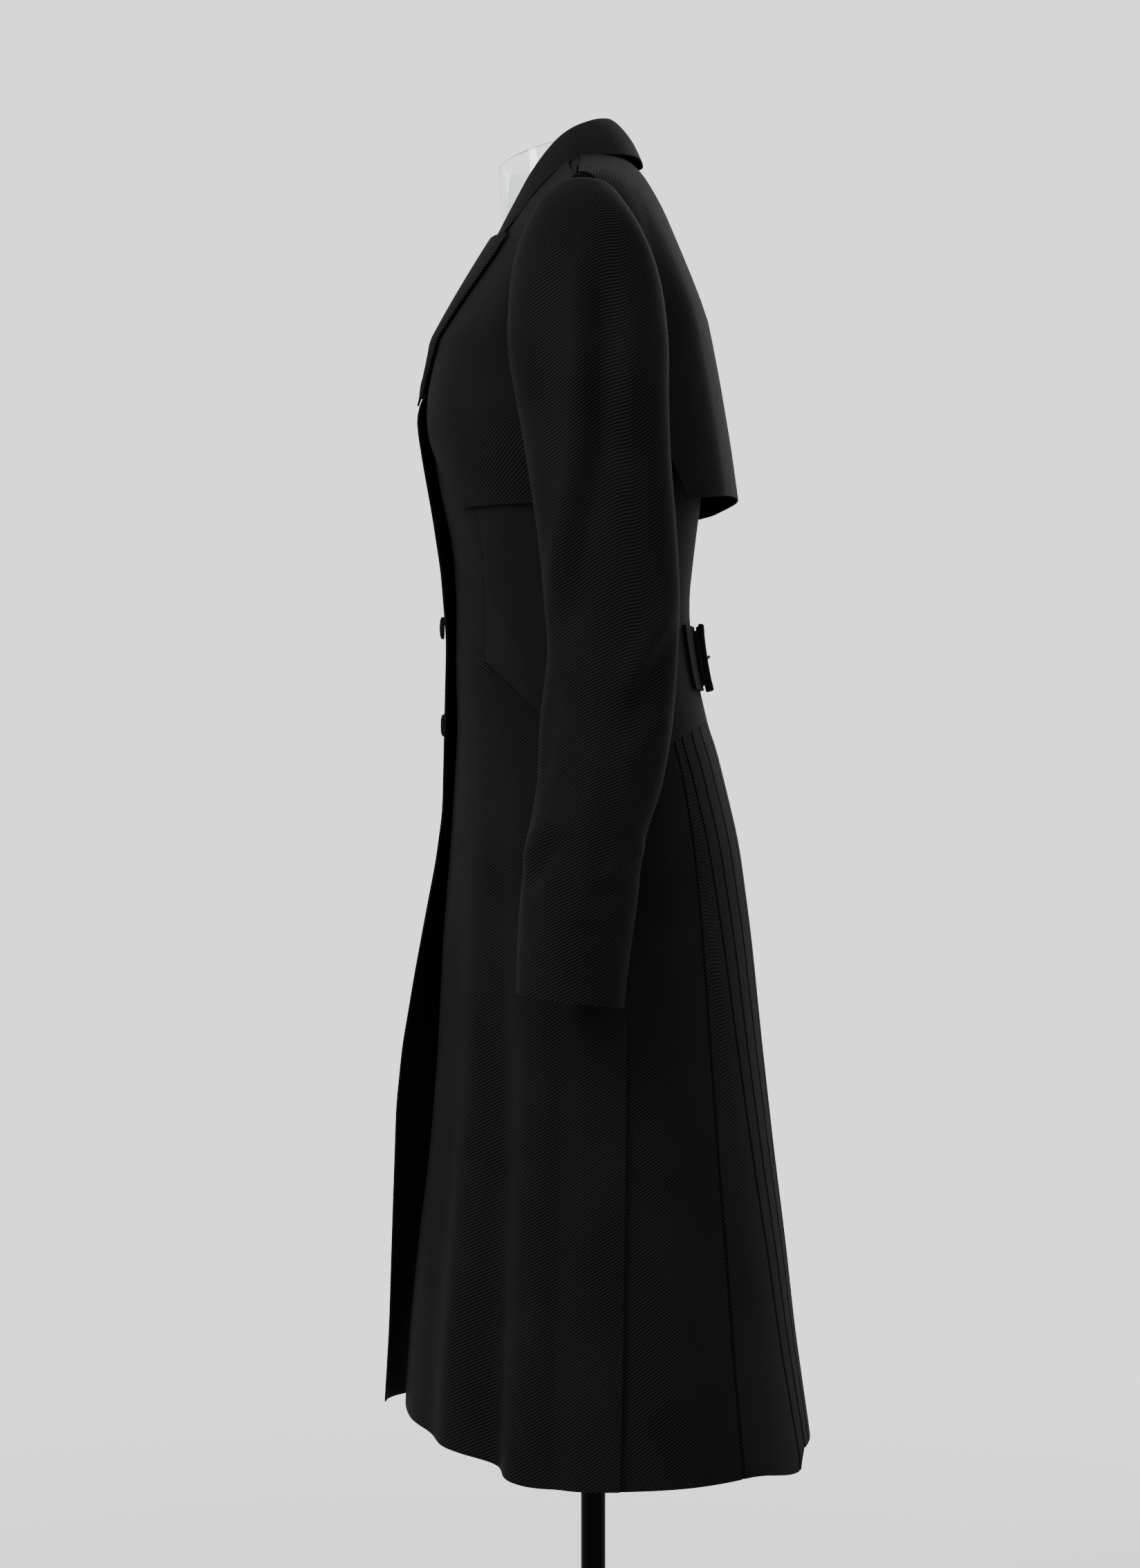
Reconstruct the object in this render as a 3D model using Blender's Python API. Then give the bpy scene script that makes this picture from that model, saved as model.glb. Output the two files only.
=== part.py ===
"""Long fitted coat on a clear limbless dress form, which stands on a pole and a round base.

Metres, +Z up. The origin is on the floor on the pole's axis, the coat's front faces -Y and the
wearer's left is +X. Every cloth piece is a wall between an outer and an inner skin. The body
pieces are read from one garment surface, so that neighbouring pieces meet along their seams.
"""
from math import asin, cos, degrees, pi, radians, sin, sqrt

import bpy
from mathutils import Vector

CLOTH = 0.0015          # wall of one layer of the coat's twill
SEAM = 0.0003           # gap between neighbouring pieces
ACRYLIC = 0.003         # wall of the clear form

UNDERARM_Z = 1.180      # lowest point of the armhole
CHEST_Z = 1.220         # above this height the surface closes towards the shoulder ridge
SHOULDER_Z = 1.338      # outer end of the shoulder seam
NECK_Z = 1.375          # neck end of the shoulder seam
NECK_X = 0.070
ARMHOLE_X = 0.184       # outer end of the shoulder seam, from the centre
UNDERARM_X = 0.160
RIDGE_Y = -0.014        # the shoulder seam's place, front to back
CHEST_HALF = 0.190      # half width of the section that the shoulders rise from
ARMHOLE_OPENS = 0.075   # rise over which the section widens to that
FRONT_FULL = 0.74       # how soon the chest falls back towards the shoulder
BACK_FULL = 0.28        # the same for the shoulder blades, which stay full for longer
SHOULDER_STEPS = (0.88, 0.74, 0.58, 0.40, 0.24, 0.017)   # depth left at each row up to the ridge

PRINCESS = 40.0         # turn of the front princess seam from centre front, in degrees
SIDE_SEAM = 97.0        # turn of the side seam, just behind the side
WAIST_Z = 1.000
YOKE_TOP_Z = 0.985
POCKET_Z = 0.951        # the pocket mouth starts here, at the princess seam
POCKET_GAPE = 0.0030    # how far the pocket stands open
FOLD_SINK = 0.0055      # the side back lies this far under the front's folded edge
FLAP_LIFT = 0.0046      # outer face of the storm flap above the chest
FLAP_Z = 1.080          # lower edge of the front storm flaps
CAPE_LIFT = 0.0042      # outer face of the cape above the shoulders
FLAP_END = 79.0         # turn of their outer edge, under the sleeve

EDGE_X = 0.020          # how far each front passes the centre
LAP_START = -0.058      # the right front starts to stand forward here
BREAK_Z = 1.155         # the lapels turn back from here
NOTCH_Z = 1.292         # the lapel's top edge, below the collar's end
LAPEL_WIDE = 0.068

PLEATS = 6              # knife pleats on each half of the back
PLEAT_DEPTH = 5.6       # how far an underlay turns back, at most
PLEAT_GAP = 0.0005      # air between the layers of a pleat
CENTRE_BACK = 180.0 - degrees(SEAM / 2 / 0.13)      # where each half of the back ends
BOX_FOLD = 180.0 - degrees(0.0012 / 0.13)           # the last fold, beside centre back
# turn of each pleat's fold, at the yoke and at the hem
FOLDS = ((130.0, 128.0), (135.5, 155.0), (143.5, 161.0), (153.0, 167.0), (164.0, 173.0),
         (BOX_FOLD, BOX_FOLD))
FOLD_EDGE = (102.0, 93.0)       # turn of the front skirt's folded rear edge, at yoke and hem
BACK_TURNS = (110.0, 123.0, 136.0, 148.0, 154.0, 159.0, 163.0, 168.0, 174.0)

BUTTON_RADIUS = 0.0100
BUTTONS = ((0.983, 0.0006), (0.900, -0.0008))   # height, and seat in front of the lap

BASE_RADIUS = 0.200
BASE_THICK = 0.012
POLE_RADIUS = 0.0105
FORM_BOTTOM = 0.800
PLATE_THICK = 0.006
PLATE_RISE = 0.006      # the form's foot plate lies this far inside the shell
FORM_SIDES = 28
FORM_FRONT_FULL = 0.82
FORM_BACK_FULL = 0.52
FORM_SEAT = 0.0006      # the coat's shoulders rest on the form with this gap
NECK_BASE = (0.062, -0.0760, 0.0080)
NECK_RIM = (0.060, -0.0810, 0.0040, 0.287)

COLLAR_DROP = 0.0013
BELT = (0.929, 0.983)   # height of the half belt, low and high
STRAP = 0.0030
BUCKLE_HALF = 0.026
BUCKLE_BAR = 0.007
BUCKLE_THICK = 0.0045
BUTTON_THICK = 0.0042

# height, front depth, back depth, half width and middle of the coat's outer surface
SECTIONS = (
    (0.285, -0.1610, 0.1845, 0.250, 0.010),
    (0.330, -0.1600, 0.1780, 0.245, 0.010),
    (0.390, -0.1560, 0.1695, 0.236, 0.009),
    (0.460, -0.1490, 0.1620, 0.224, 0.008),
    (0.540, -0.1390, 0.1520, 0.210, 0.007),
    (0.630, -0.1320, 0.1420, 0.196, 0.006),
    (0.720, -0.1280, 0.1330, 0.183, 0.004),
    (0.800, -0.1215, 0.1225, 0.171, 0.002),
    (0.850, -0.1186, 0.1105, 0.162, 0.000),
    (0.900, -0.1155, 0.0980, 0.151, -0.002),
    (0.950, -0.1175, 0.0865, 0.138, -0.004),
    (1.000, -0.1165, 0.0810, 0.131, -0.006),
    (1.050, -0.1190, 0.0865, 0.138, -0.008),
    (1.100, -0.1310, 0.0930, 0.150, -0.010),
    (1.165, -0.1410, 0.0900, 0.160, -0.012),
    (1.220, -0.1290, 0.0840, CHEST_HALF, RIDGE_Y),
)

# height and place of the right front's free edge, which stands forward of the left front
FREE_EDGE = (
    (0.320, -0.1780), (0.389, -0.1740), (0.490, -0.1710), (0.576, -0.1680), (0.626, -0.1630),
    (0.692, -0.1520), (0.748, -0.1416), (0.782, -0.1350), (0.826, -0.1290), (0.900, -0.1275),
    (0.972, -0.1260), (1.033, -0.1310), (1.082, -0.1385), (1.118, -0.1450), (1.155, -0.1510),
)

# the neck seam at the back: turn, and the share of the depth that is left there
NECK_SEAM = ((158, 0.0), (160, 0.05), (163, 0.22), (166, 0.33), (171, 0.43), (180, 0.46))

# height and place of the cape's outline at centre back
CAPE = (
    (1.085, 0.1245), (1.138, 0.1170), (1.191, 0.1080), (1.238, 0.0990), (1.285, 0.0860),
    (1.312, 0.0770), (1.344, 0.0600), (1.367, 0.0460),
)

# a row per ring: its outer end (height, distance from the centre), its inner end, front, rear
SLEEVE = (
    (1.3345, 0.1843, 1.1825, 0.1611, -0.0560, 0.0340),
    (1.3310, 0.2020, 1.1690, 0.1670, -0.0650, 0.0450),
    (1.3020, 0.2300, 1.1580, 0.1690, -0.0690, 0.0545),
    (1.2450, 0.2520, 1.1460, 0.1700, -0.0690, 0.0585),
    (1.1850, 0.2600, 1.1300, 0.1705, -0.0630, 0.0585),
    (1.1180, 0.2580, 1.1000, 0.1700, -0.0548, 0.0603),
    (1.0600, 0.2540, 1.0500, 0.1680, -0.0467, 0.0646),
    (1.0040, 0.2510, 1.0000, 0.1660, -0.0407, 0.0673),
    (0.9600, 0.2510, 0.9580, 0.1670, -0.0375, 0.0662),
    (0.9000, 0.2560, 0.8980, 0.1720, -0.0440, 0.0617),
    (0.8500, 0.2600, 0.8480, 0.1790, -0.0463, 0.0530),
    (0.8050, 0.2640, 0.8030, 0.1860, -0.0538, 0.0390),
    (0.7600, 0.2680, 0.7590, 0.1920, -0.0592, 0.0337),
    (0.7150, 0.2720, 0.7150, 0.1990, -0.0615, 0.0270),
    (0.6800, 0.2750, 0.6800, 0.2040, -0.0620, 0.0225),
)

# a row per section from centre back: the fold, the fall's edge and the foot of the stand
COLLAR = (
    ((0.000, 0.0160, 1.4140), (0.000, 0.0413, 1.3770), (0.000, 0.0290, 1.3800)),
    ((0.026, 0.0120, 1.4130), (0.034, 0.0370, 1.3790), (0.030, 0.0250, 1.3810)),
    ((0.048, 0.0000, 1.4080), (0.071, 0.0235, 1.3800), (0.054, 0.0080, 1.3830)),
    ((0.060, -0.0178, 1.3990), (0.0895, -0.0040, 1.3772), (0.064, -0.0140, 1.3830)),
    ((0.064, -0.0330, 1.3860), (0.095, -0.0260, 1.3660), (0.067, -0.0300, 1.3720)),
    ((0.067, -0.0507, 1.3620), (0.097, -0.0450, 1.3470), (0.068, -0.0470, 1.3520)),
    ((0.069, -0.0660, 1.3340), (0.097, -0.0600, 1.3260), (0.069, -0.0620, 1.3300)),
    ((0.070, -0.0810, 1.3050), (0.096, -0.0755, 1.3060), (0.071, -0.0770, 1.3030)),
)

# a row per ring of the bare form: height, half width, front, back
FORM = (
    (0.803, 0.150, -0.104, 0.098), (0.870, 0.142, -0.102, 0.090), (0.930, 0.126, -0.101, 0.078),
    (1.000, 0.113, -0.100, 0.069), (1.060, 0.122, -0.105, 0.073), (1.120, 0.138, -0.118, 0.078),
    (1.165, 0.146, -0.125, 0.077), (1.200, 0.150, -0.121, 0.074),
)


def remove_old_objects():
    for old in list(bpy.data.objects):
        bpy.data.objects.remove(old, do_unlink=True)


def material(name, colour, roughness, metallic=0.0, alpha=1.0):
    made = bpy.data.materials.new(name)
    made.use_nodes = True
    shader = made.node_tree.nodes["Principled BSDF"]
    shader.inputs["Base Color"].default_value = (*colour, 1.0)
    shader.inputs["Roughness"].default_value = roughness
    shader.inputs["Metallic"].default_value = metallic
    shader.inputs["Alpha"].default_value = alpha
    return made


def read(table, height, column):
    """A table's column at this height, straight between its rows."""
    height = min(max(height, table[0][0]), table[-1][0])
    for low, high in zip(table, table[1:]):
        if height <= high[0]:
            part = (height - low[0]) / (high[0] - low[0])
            return low[column] + (high[column] - low[column]) * part
    return table[-1][column]


def smooth(table, height, column, reach=0.018):
    steps = (-1.0, -0.5, 0.0, 0.5, 1.0)
    return sum(read(table, height + step * reach, column) for step in steps) / len(steps)


def ease(value):
    value = min(1.0, max(0.0, value))
    return value * value * (3 - 2 * value)


def spread(start, end, count):
    return [start + (end - start) * n / (count - 1) for n in range(count)]


def shoulder_height(x):
    """Height of the shoulder ridge, which rises a little more inside the neck."""
    if x < NECK_X:
        return NECK_Z + 0.012 * (1 - x / NECK_X)
    return NECK_Z - (NECK_Z - SHOULDER_Z) * (x - NECK_X) / (ARMHOLE_X - NECK_X)


def side_limit(z):
    """Half width of the body, and above the underarm the armhole's distance from the centre."""
    if z < UNDERARM_Z:
        return min(smooth(SECTIONS, z, 3), UNDERARM_X) if z > WAIST_Z else smooth(SECTIONS, z, 3)
    rise = (z - UNDERARM_Z) / (SHOULDER_Z - UNDERARM_Z)
    return UNDERARM_X + (ARMHOLE_X - UNDERARM_X) * rise


def depth_at(front, x, z):
    """Where the coat's outer surface lies, front or back, at this distance from the centre."""
    column = 1 if front else 2
    low = min(z, CHEST_Z)
    end = smooth(SECTIONS, low, column)
    middle = smooth(SECTIONS, low, 4)
    opened = ease((z - UNDERARM_Z) / ARMHOLE_OPENS)
    width = side_limit(low) + (CHEST_HALF - side_limit(low)) * opened
    base = (end - middle) * sqrt(max(0.0, 1 - (x / width) ** 2))
    if z <= CHEST_Z:
        return middle + base
    rise = (z - CHEST_Z) / (shoulder_height(x) - CHEST_Z)
    return middle + base * max(0.0, 1 - rise) ** (FRONT_FULL if front else BACK_FULL)


def skin(turn, z):
    """A point of the coat's outer surface, by its turn from centre front towards the left."""
    x = side_limit(z) * sin(radians(turn))
    return Vector((x, depth_at(turn <= 90, abs(x), z), z))


def outward(turn, z):
    """Unit normal of the surface. Above the underarm the steps stay on one half."""
    near, far = turn - 0.5, turn + 0.5
    if z > UNDERARM_Z - 0.004 and abs(turn - 90) < 1.0:
        near, far = (turn - 1.0, turn) if turn <= 90 else (turn + 0.01, turn + 1.01)
    along = skin(far, z) - skin(near, z)
    up = skin(turn, z) - skin(turn, z - 0.00003) if z > CHEST_Z else (
        skin(turn, z + 0.001) - skin(turn, z - 0.001))
    return along.cross(up).normalized()


def layer(turn, z, lift=0.0):
    return skin(turn, z) + outward(turn, z) * lift


def turn_at(x, z):
    return degrees(asin(max(-1.0, min(1.0, x / side_limit(z)))))


def ridge_at(turn):
    """Height at which this turn meets the shoulder ridge."""
    ridge = SHOULDER_Z
    for _ in range(12):
        ridge = shoulder_height(abs(side_limit(ridge) * sin(radians(turn))))
    return ridge


def shoulder_rows(turn, full, last=0.0):
    """Heights from the chest to the ridge, evenly spaced over the rounding of the shoulder."""
    ridge = ridge_at(turn)
    steps = [max(step, last + step * (1 - last)) for step in SHOULDER_STEPS]
    return [CHEST_Z + (ridge - CHEST_Z) * (1 - step ** (1 / full)) for step in steps]


def normals_of(grid, ring=False):
    """Unit normal at each point of a grid[column][row], from its neighbours."""
    columns = len(grid)
    rows = len(grid[0])
    found = []
    for i in range(columns):
        before = (i - 1) % columns if ring else max(i - 1, 0)
        after = (i + 1) % columns if ring else min(i + 1, columns - 1)
        line = []
        for j in range(rows):
            along = grid[after][j] - grid[before][j]
            up = grid[i][min(j + 1, rows - 1)] - grid[i][max(j - 1, 0)]
            line.append(along.cross(up).normalized())
        found.append(line)
    return found


def moved(grid, distance, ring=False):
    normals = normals_of(grid, ring)
    return [[p + n * distance for p, n in zip(line, side)] for line, side in zip(grid, normals)]


def add_mesh(name, points, faces, surface, mirror=False):
    if mirror:
        points = [Vector((-p.x, p.y, p.z)) for p in points]
        faces = [tuple(reversed(face)) for face in faces]
    mesh = bpy.data.meshes.new(name)
    mesh.from_pydata([tuple(p) for p in points], [], faces)
    mesh.materials.append(surface)
    mesh.shade_smooth()
    mesh.set_sharp_from_angle(angle=radians(35))
    made = bpy.data.objects.new(name, mesh)
    bpy.context.scene.collection.objects.link(made)
    return made


def wall(name, outer, inner, surface, ring=False, keep=None, mirror=False):
    """A closed wall between two grids, outer[column][row] and inner[column][row]."""
    columns = len(outer)
    rows = len(outer[0])
    points = [p for line in outer for p in line] + [p for line in inner for p in line]
    half = columns * rows
    last = columns if ring else columns - 1
    cells = {(i, j) for i in range(last) for j in range(rows - 1) if keep is None or keep(i, j)}

    def index(i, j):
        return (i % columns) * rows + j

    faces = []
    for i, j in sorted(cells):
        corner = (index(i, j), index(i + 1, j), index(i + 1, j + 1), index(i, j + 1))
        faces.append(corner)
        faces.append(tuple(half + k for k in reversed(corner)))
        sides = ((i, j - 1, 0, 1), (i + 1, j, 1, 2), (i, j + 1, 2, 3), (i - 1, j, 3, 0))
        for other_i, other_j, a, b in sides:
            other_i = other_i % columns if ring else other_i
            if (other_i, other_j) not in cells:
                faces.append((corner[b], corner[a], corner[a] + half, corner[b] + half))
    used = sorted({k for face in faces for k in face})
    place = {k: n for n, k in enumerate(used)}
    faces = [tuple(place[k] for k in face) for face in faces]
    return add_mesh(name, [points[k] for k in used], faces, surface, mirror)


def body_panel(name, columns, surface, mirror=False, keep=None, thick=CLOTH):
    """A wall from columns of (turn, height, lift), where lift raises it off the surface."""
    outer = [[layer(turn, z, lift) for turn, z, lift in line] for line in columns]
    inner = [[layer(turn, z, lift - thick) for turn, z, lift in line] for line in columns]
    return wall(name, outer, inner, surface, keep=keep, mirror=mirror)


def seam_turn(z):
    """Turn that half a seam takes up at this height."""
    return degrees(SEAM / 2 / side_limit(z)) * 1.5


def princess(z):
    """The front princess seam, which swings out into the armhole."""
    return PRINCESS + 42.0 * ease((z - 1.09) / (UNDERARM_Z - 1.09))


def pocket_line(turn):
    """The side piece's lower edge in front, along which the pocket opens."""
    return POCKET_Z - 0.077 * ease((turn - PRINCESS) / (SIDE_SEAM - PRINCESS))


def yoke_low(turn):
    """The hip yoke's lower edge at the back, highest at centre back."""
    return 0.874 + 0.031 * ease((turn - SIDE_SEAM) / (180 - SIDE_SEAM))


def front_hem(turn):
    return 0.326 - 0.031 * ease(turn / 80.0)


def back_hem(turn):
    """Hem of the back, lowest at the second fold, with the inner pleats a little shorter."""
    return 0.295 - 0.011 * ease((turn - 130) / 25) + 0.014 * ease((turn - 156) / 4)


def fall(z):
    """How far down the skirt a height lies, from 0 at the yoke to 1 at the hem."""
    return min(1.0, max(0.0, (0.874 - z) / (0.874 - 0.295)))


def fold_edge(z):
    """Turn of the front skirt's folded rear edge."""
    return FOLD_EDGE[0] + (FOLD_EDGE[1] - FOLD_EDGE[0]) * fall(z)


def flute(turn, z):
    """Soft vertical flutes, which grow towards the hem of the front skirt."""
    grow = ease((0.88 - z) / 0.5) * ease((turn - 8) / 20)
    grow *= ease((fold_edge(z) - 5.0 - turn) / 16)
    return grow * (-0.008 + 0.008 * cos(radians(turn - 20) * 7.0))


def lap_lift(past, z):
    """How far the right front stands forward, at this distance past the centre."""
    low = min(z, BREAK_Z)
    forward = skin(0.0, low).y - smooth(FREE_EDGE, low, 1, 0.01)
    fade = 1 - ease((z - BREAK_Z) / 0.06)
    return fade * forward * ease((past - LAP_START) / (EDGE_X - LAP_START))


def neck_opening(z):
    """Distance of the front's edge from the centre, negative where it laps past it."""
    rise = (z - BREAK_Z) / (NECK_Z - BREAK_Z)
    if rise <= 0:
        return -EDGE_X
    return NECK_X * rise - EDGE_X * (1 - ease(rise * 3.0))


def build_front(side, twill):
    """Centre front, cut in one with the skirt front: from the shoulder to the hem."""
    bodice_columns = 7
    skirt_columns = 9
    skirt_rows = 11
    bodice_rows = 9

    def turn_of(part, z):
        start = turn_at(neck_opening(z), z)
        if part <= 1.0:
            end = 90.0 if z > UNDERARM_Z else princess(z) - seam_turn(z)
            if z < POCKET_Z:
                end = PRINCESS
            return start + (end - start) * part
        return PRINCESS + (fold_edge(z) - PRINCESS) * (part - 1.0)

    columns = []
    for part in spread(0, 1, bodice_columns) + spread(1, 2, skirt_columns)[1:]:
        turn = PRINCESS * part if part <= 1 else turn_of(part, 0.9)
        line = pocket_line(max(turn, PRINCESS)) - SEAM * 2
        line -= POCKET_GAPE * ease((turn - PRINCESS) / 8)
        top_turn = max(0.0, turn_of(min(part, 1.0), SHOULDER_Z + 0.01))
        rows = spread(front_hem(turn), line, skirt_rows)
        rows += spread(POCKET_Z + SEAM, UNDERARM_Z - 0.002, bodice_rows)[1:] + [CHEST_Z]
        rows += shoulder_rows(top_turn, FRONT_FULL)
        column = []
        for z in rows:
            at = turn_of(part, z)
            lift = flute(at, z)
            if side == "right":
                lift += lap_lift(-skin(at, z).x, z)
            column.append((at, z, lift))
        columns.append(column)

    def keep(i, j):
        return i < bodice_columns - 1 or j < skirt_rows - 1

    body_panel("front_" + side, columns, twill, side == "right", keep)


def build_side(side, twill):
    """Side piece of the bodice, between the princess seam and the side seam."""
    columns = []
    for part in spread(0, 1, 6):
        column = []
        low = pocket_line(PRINCESS + (SIDE_SEAM - PRINCESS) * part) + SEAM
        for z in spread(low, UNDERARM_Z - 0.002, 9):
            start = princess(z) + seam_turn(z)
            end = SIDE_SEAM - seam_turn(z)
            column.append((start + (end - start) * part, z, 0.0))
        columns.append(column)
    body_panel("side_" + side, columns, twill, side == "right")


def build_back(side, twill):
    """Back bodice, from the hip yoke to the shoulder and the neck."""
    columns = []
    for turn in (SIDE_SEAM + 0.2, *BACK_TURNS, CENTRE_BACK):
        rows = spread(YOKE_TOP_Z + SEAM, CHEST_Z, 9)
        rows += shoulder_rows(turn, BACK_FULL, read(NECK_SEAM, turn, 1))
        columns.append([(turn, z, 0.0) for z in rows])
    body_panel("back_" + side, columns, twill, side == "right")


def build_yoke(side, twill):
    """Hip yoke, between the bodice back and the pleats."""
    columns = []
    start = SIDE_SEAM + 0.2
    for part in spread(0, 1, 12):
        turn = start + (CENTRE_BACK - start) * part
        columns.append([(turn, z, 0.0) for z in spread(yoke_low(turn), YOKE_TOP_Z, 6)])
    body_panel("hip_yoke_" + side, columns, twill, side == "right")


def build_storm_flap(side, twill):
    """Front storm flap, a second layer over the chest from the shoulder."""
    columns = []
    for part in spread(0, 1, 9):
        column = []
        rows = spread(FLAP_Z, CHEST_Z, 6) + shoulder_rows(34 + 54 * part, FRONT_FULL)
        for z in rows:
            start = 32 - 20 * ease((z - FLAP_Z) / 0.07)
            start = max(start, turn_at(neck_opening(z), z) + 4 + 6 * ease((z - BREAK_Z) / 0.1))
            turn = start + (FLAP_END - start) * part
            lap = lap_lift(-skin(turn, z).x, z) if side == "right" else 0.0
            column.append((turn, z, FLAP_LIFT + lap))
        columns.append(column)
    body_panel("storm_flap_" + side, columns, twill, side == "right")


def build_lapel(side, twill):
    """Lapel, turned back from the break, standing a little off the chest."""
    columns = []
    for part in spread(0, 1, 6):
        column = []
        for z in spread(BREAK_Z + 0.040, NOTCH_Z, 9):
            rise = (z - BREAK_Z) / (NOTCH_Z - BREAK_Z)
            across = (0.004 + (LAPEL_WIDE - 0.004) * ease(rise * 1.1)) * part
            x = neck_opening(z) + 0.0005 + across
            lift = CLOTH + SEAM + 0.0062 * ease(across / 0.010) + 0.003 * sin(pi * part)
            if side == "right":
                lift += lap_lift(-x, z) + 0.0026 * (1 - ease((z - 1.2) / 0.03))
            column.append((turn_at(x, z), z, lift))
        columns.append(column)
    body_panel("lapel_" + side, columns, twill, side == "right")


def cape_half(z):
    """Half width of the cape, just inside the armhole."""
    low = min(0.152, side_limit(z) - 0.004)
    return low + (side_limit(z) - 0.004 - low) * ease((z - 1.2) / 0.08)


def cape_point(across, z):
    """A point of the cape, which lies on the shoulders and swings clear below them."""
    x = across * cape_half(z)
    raised = CAPE_LIFT + 0.0005 * ease((z - 1.325) / 0.03)
    place = layer(180 - degrees(asin(x / side_limit(z))), z, raised)
    loose = smooth(CAPE, z, 1, 0.01) - 1.45 * x * x - 11.0 * max(0.0, abs(x) - 0.100) ** 2
    place.y += max(loose - place.y, 0.0) * ease((1.345 - z) / 0.11)
    return place


def build_cape(twill):
    """Loose storm cape over the shoulder blades, open along its hem."""
    turns = (102.0, *BACK_TURNS, 180.0)
    outer = []
    for turn in turns + tuple(360.0 - turn for turn in reversed(turns[:-1])):
        near = min(turn, 360.0 - turn)
        ridge = ridge_at(near)
        across = min(1.0, side_limit(ridge) * sin(radians(near)) / cape_half(ridge))
        rows = spread(1.091 - 0.008 * across ** 3, CHEST_Z, 7)
        rows += shoulder_rows(near, BACK_FULL, read(NECK_SEAM, near, 1))
        side = 1.0 if turn < 180.0 else -1.0
        outer.append([cape_point(across * side, z) for z in rows])
    wall("storm_cape", outer, moved(outer, -CLOTH), twill)


def between(rows, part):
    """A point on the smooth line through the rows, where part runs from 0 to 1."""
    place = part * (len(rows) - 1)
    k = min(int(place), len(rows) - 2)
    t = place - k
    before = rows[max(k - 1, 0)]
    after = rows[min(k + 2, len(rows) - 1)]
    one, two = rows[k], rows[k + 1]
    slope_one = (two - before) / 2
    slope_two = (after - one) / 2
    return (one * (2 * t ** 3 - 3 * t ** 2 + 1) + slope_one * (t ** 3 - 2 * t ** 2 + t)
            + two * (3 * t ** 2 - 2 * t ** 3) + slope_two * (t ** 3 - t ** 2))


def collar_line(column):
    half = [Vector(row[column]) for row in COLLAR]
    other = [Vector((-p.x, p.y, p.z)) for p in reversed(half[1:])]
    return other + half


def build_collar(twill):
    """Turned collar in one piece: fall, fold and stand."""
    down = Vector((0, 0, COLLAR_DROP))
    fold, edge, foot = ([p - down for p in collar_line(column)] for column in range(3))
    outer = []
    for part in spread(0, 1, 27):
        top = between(fold, part)
        low = between(edge, part)
        inside = between(foot, part)
        away = (low - inside)
        away.z = 0
        away.normalize()
        shoulder = top + (low - top) * 0.16 + away * 0.0035
        middle = top + (low - top) * 0.55 + away * 0.0040
        under = top + (inside - top) * 0.25 - away * 0.0012
        outer.append([low, middle, shoulder, top - away * 0.0005, under, inside])
    wall("collar", outer, moved(outer, -CLOTH), twill)


def sleeve_ring(row, count):
    top = Vector((row[1], (row[4] + row[5]) / 2, row[0]))
    low = Vector((row[3], (row[4] + row[5]) / 2, row[2]))
    middle = (top + low) / 2
    wide = (row[5] - row[4]) / 2
    ring = []
    for n in range(count):
        turn = 2 * pi * n / count
        ring.append(middle + (top - low) / 2 * cos(turn) + Vector((0, wide * sin(turn), 0)))
    return ring


def build_sleeve(side, twill):
    """Two-piece sleeve, parted along its front and back seams."""
    count = 24
    rings = [sleeve_ring(row, count) for row in reversed(SLEEVE)]
    grid = [[ring[n] for ring in rings] for n in range(count)]
    inner = moved(grid, -CLOTH, ring=True)
    front_seam = 17
    back_seam = 8
    pieces = (("top_sleeve_", list(range(front_seam, count)) + list(range(0, back_seam + 1))),
              ("under_sleeve_", list(range(back_seam, front_seam + 1))))
    for name, picks in pieces:
        out_part = [list(grid[n]) for n in picks]
        in_part = [list(inner[n]) for n in picks]
        for skin_part in (out_part, in_part):
            for end, beside in ((0, 1), (-1, -2)):
                for j, point in enumerate(skin_part[end]):
                    step = skin_part[beside][j] - point
                    skin_part[end][j] = point + step.normalized() * SEAM / 2
        wall(name + side, out_part, in_part, twill, mirror=side == "right")


def shifted(turns, by):
    return tuple(turn + by for turn in turns)


def under_fold(n):
    """Turns at the yoke and at the hem that pleat n's underlay goes back to."""
    gaps = [PLEAT_DEPTH / 0.45 if n == 0 else FOLDS[n][k] - FOLDS[n - 1][k] for k in (0, 1)]
    return tuple(FOLDS[n][k] - min(PLEAT_DEPTH, 0.45 * gaps[k]) for k in (0, 1))


def pleat_line(first, last):
    """Outer and inner points of the folded layers, as (turns at yoke and hem, lift)."""
    reach = 2 * CLOTH + PLEAT_GAP
    under = -reach - PLEAT_GAP
    edge = degrees(CLOTH / 0.16)
    outer = []
    inner = []
    for n in range(first, last + 1):
        fold = FOLDS[n]
        back = under_fold(n)
        outer += [(fold, 0.0), (fold, -reach), (back, -reach)]
        inner += [(shifted(fold, -edge), -CLOTH), (shifted(fold, -edge), CLOTH - reach),
                  (shifted(back, -edge), CLOTH - reach)]
        if last == 0:
            continue
        outer.append((back, under))
        inner.append((shifted(back, -edge), under - CLOTH))
        if n < PLEATS - 1:
            rise = [(shifted(fold, 0.3), under), (shifted(fold, 1.9), 0.0),
                    (shifted(under_fold(n + 1), -0.3), 0.0)]
            outer += rise
            inner += [(turns, lift - CLOTH) for turns, lift in rise]
    return outer, inner


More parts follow.
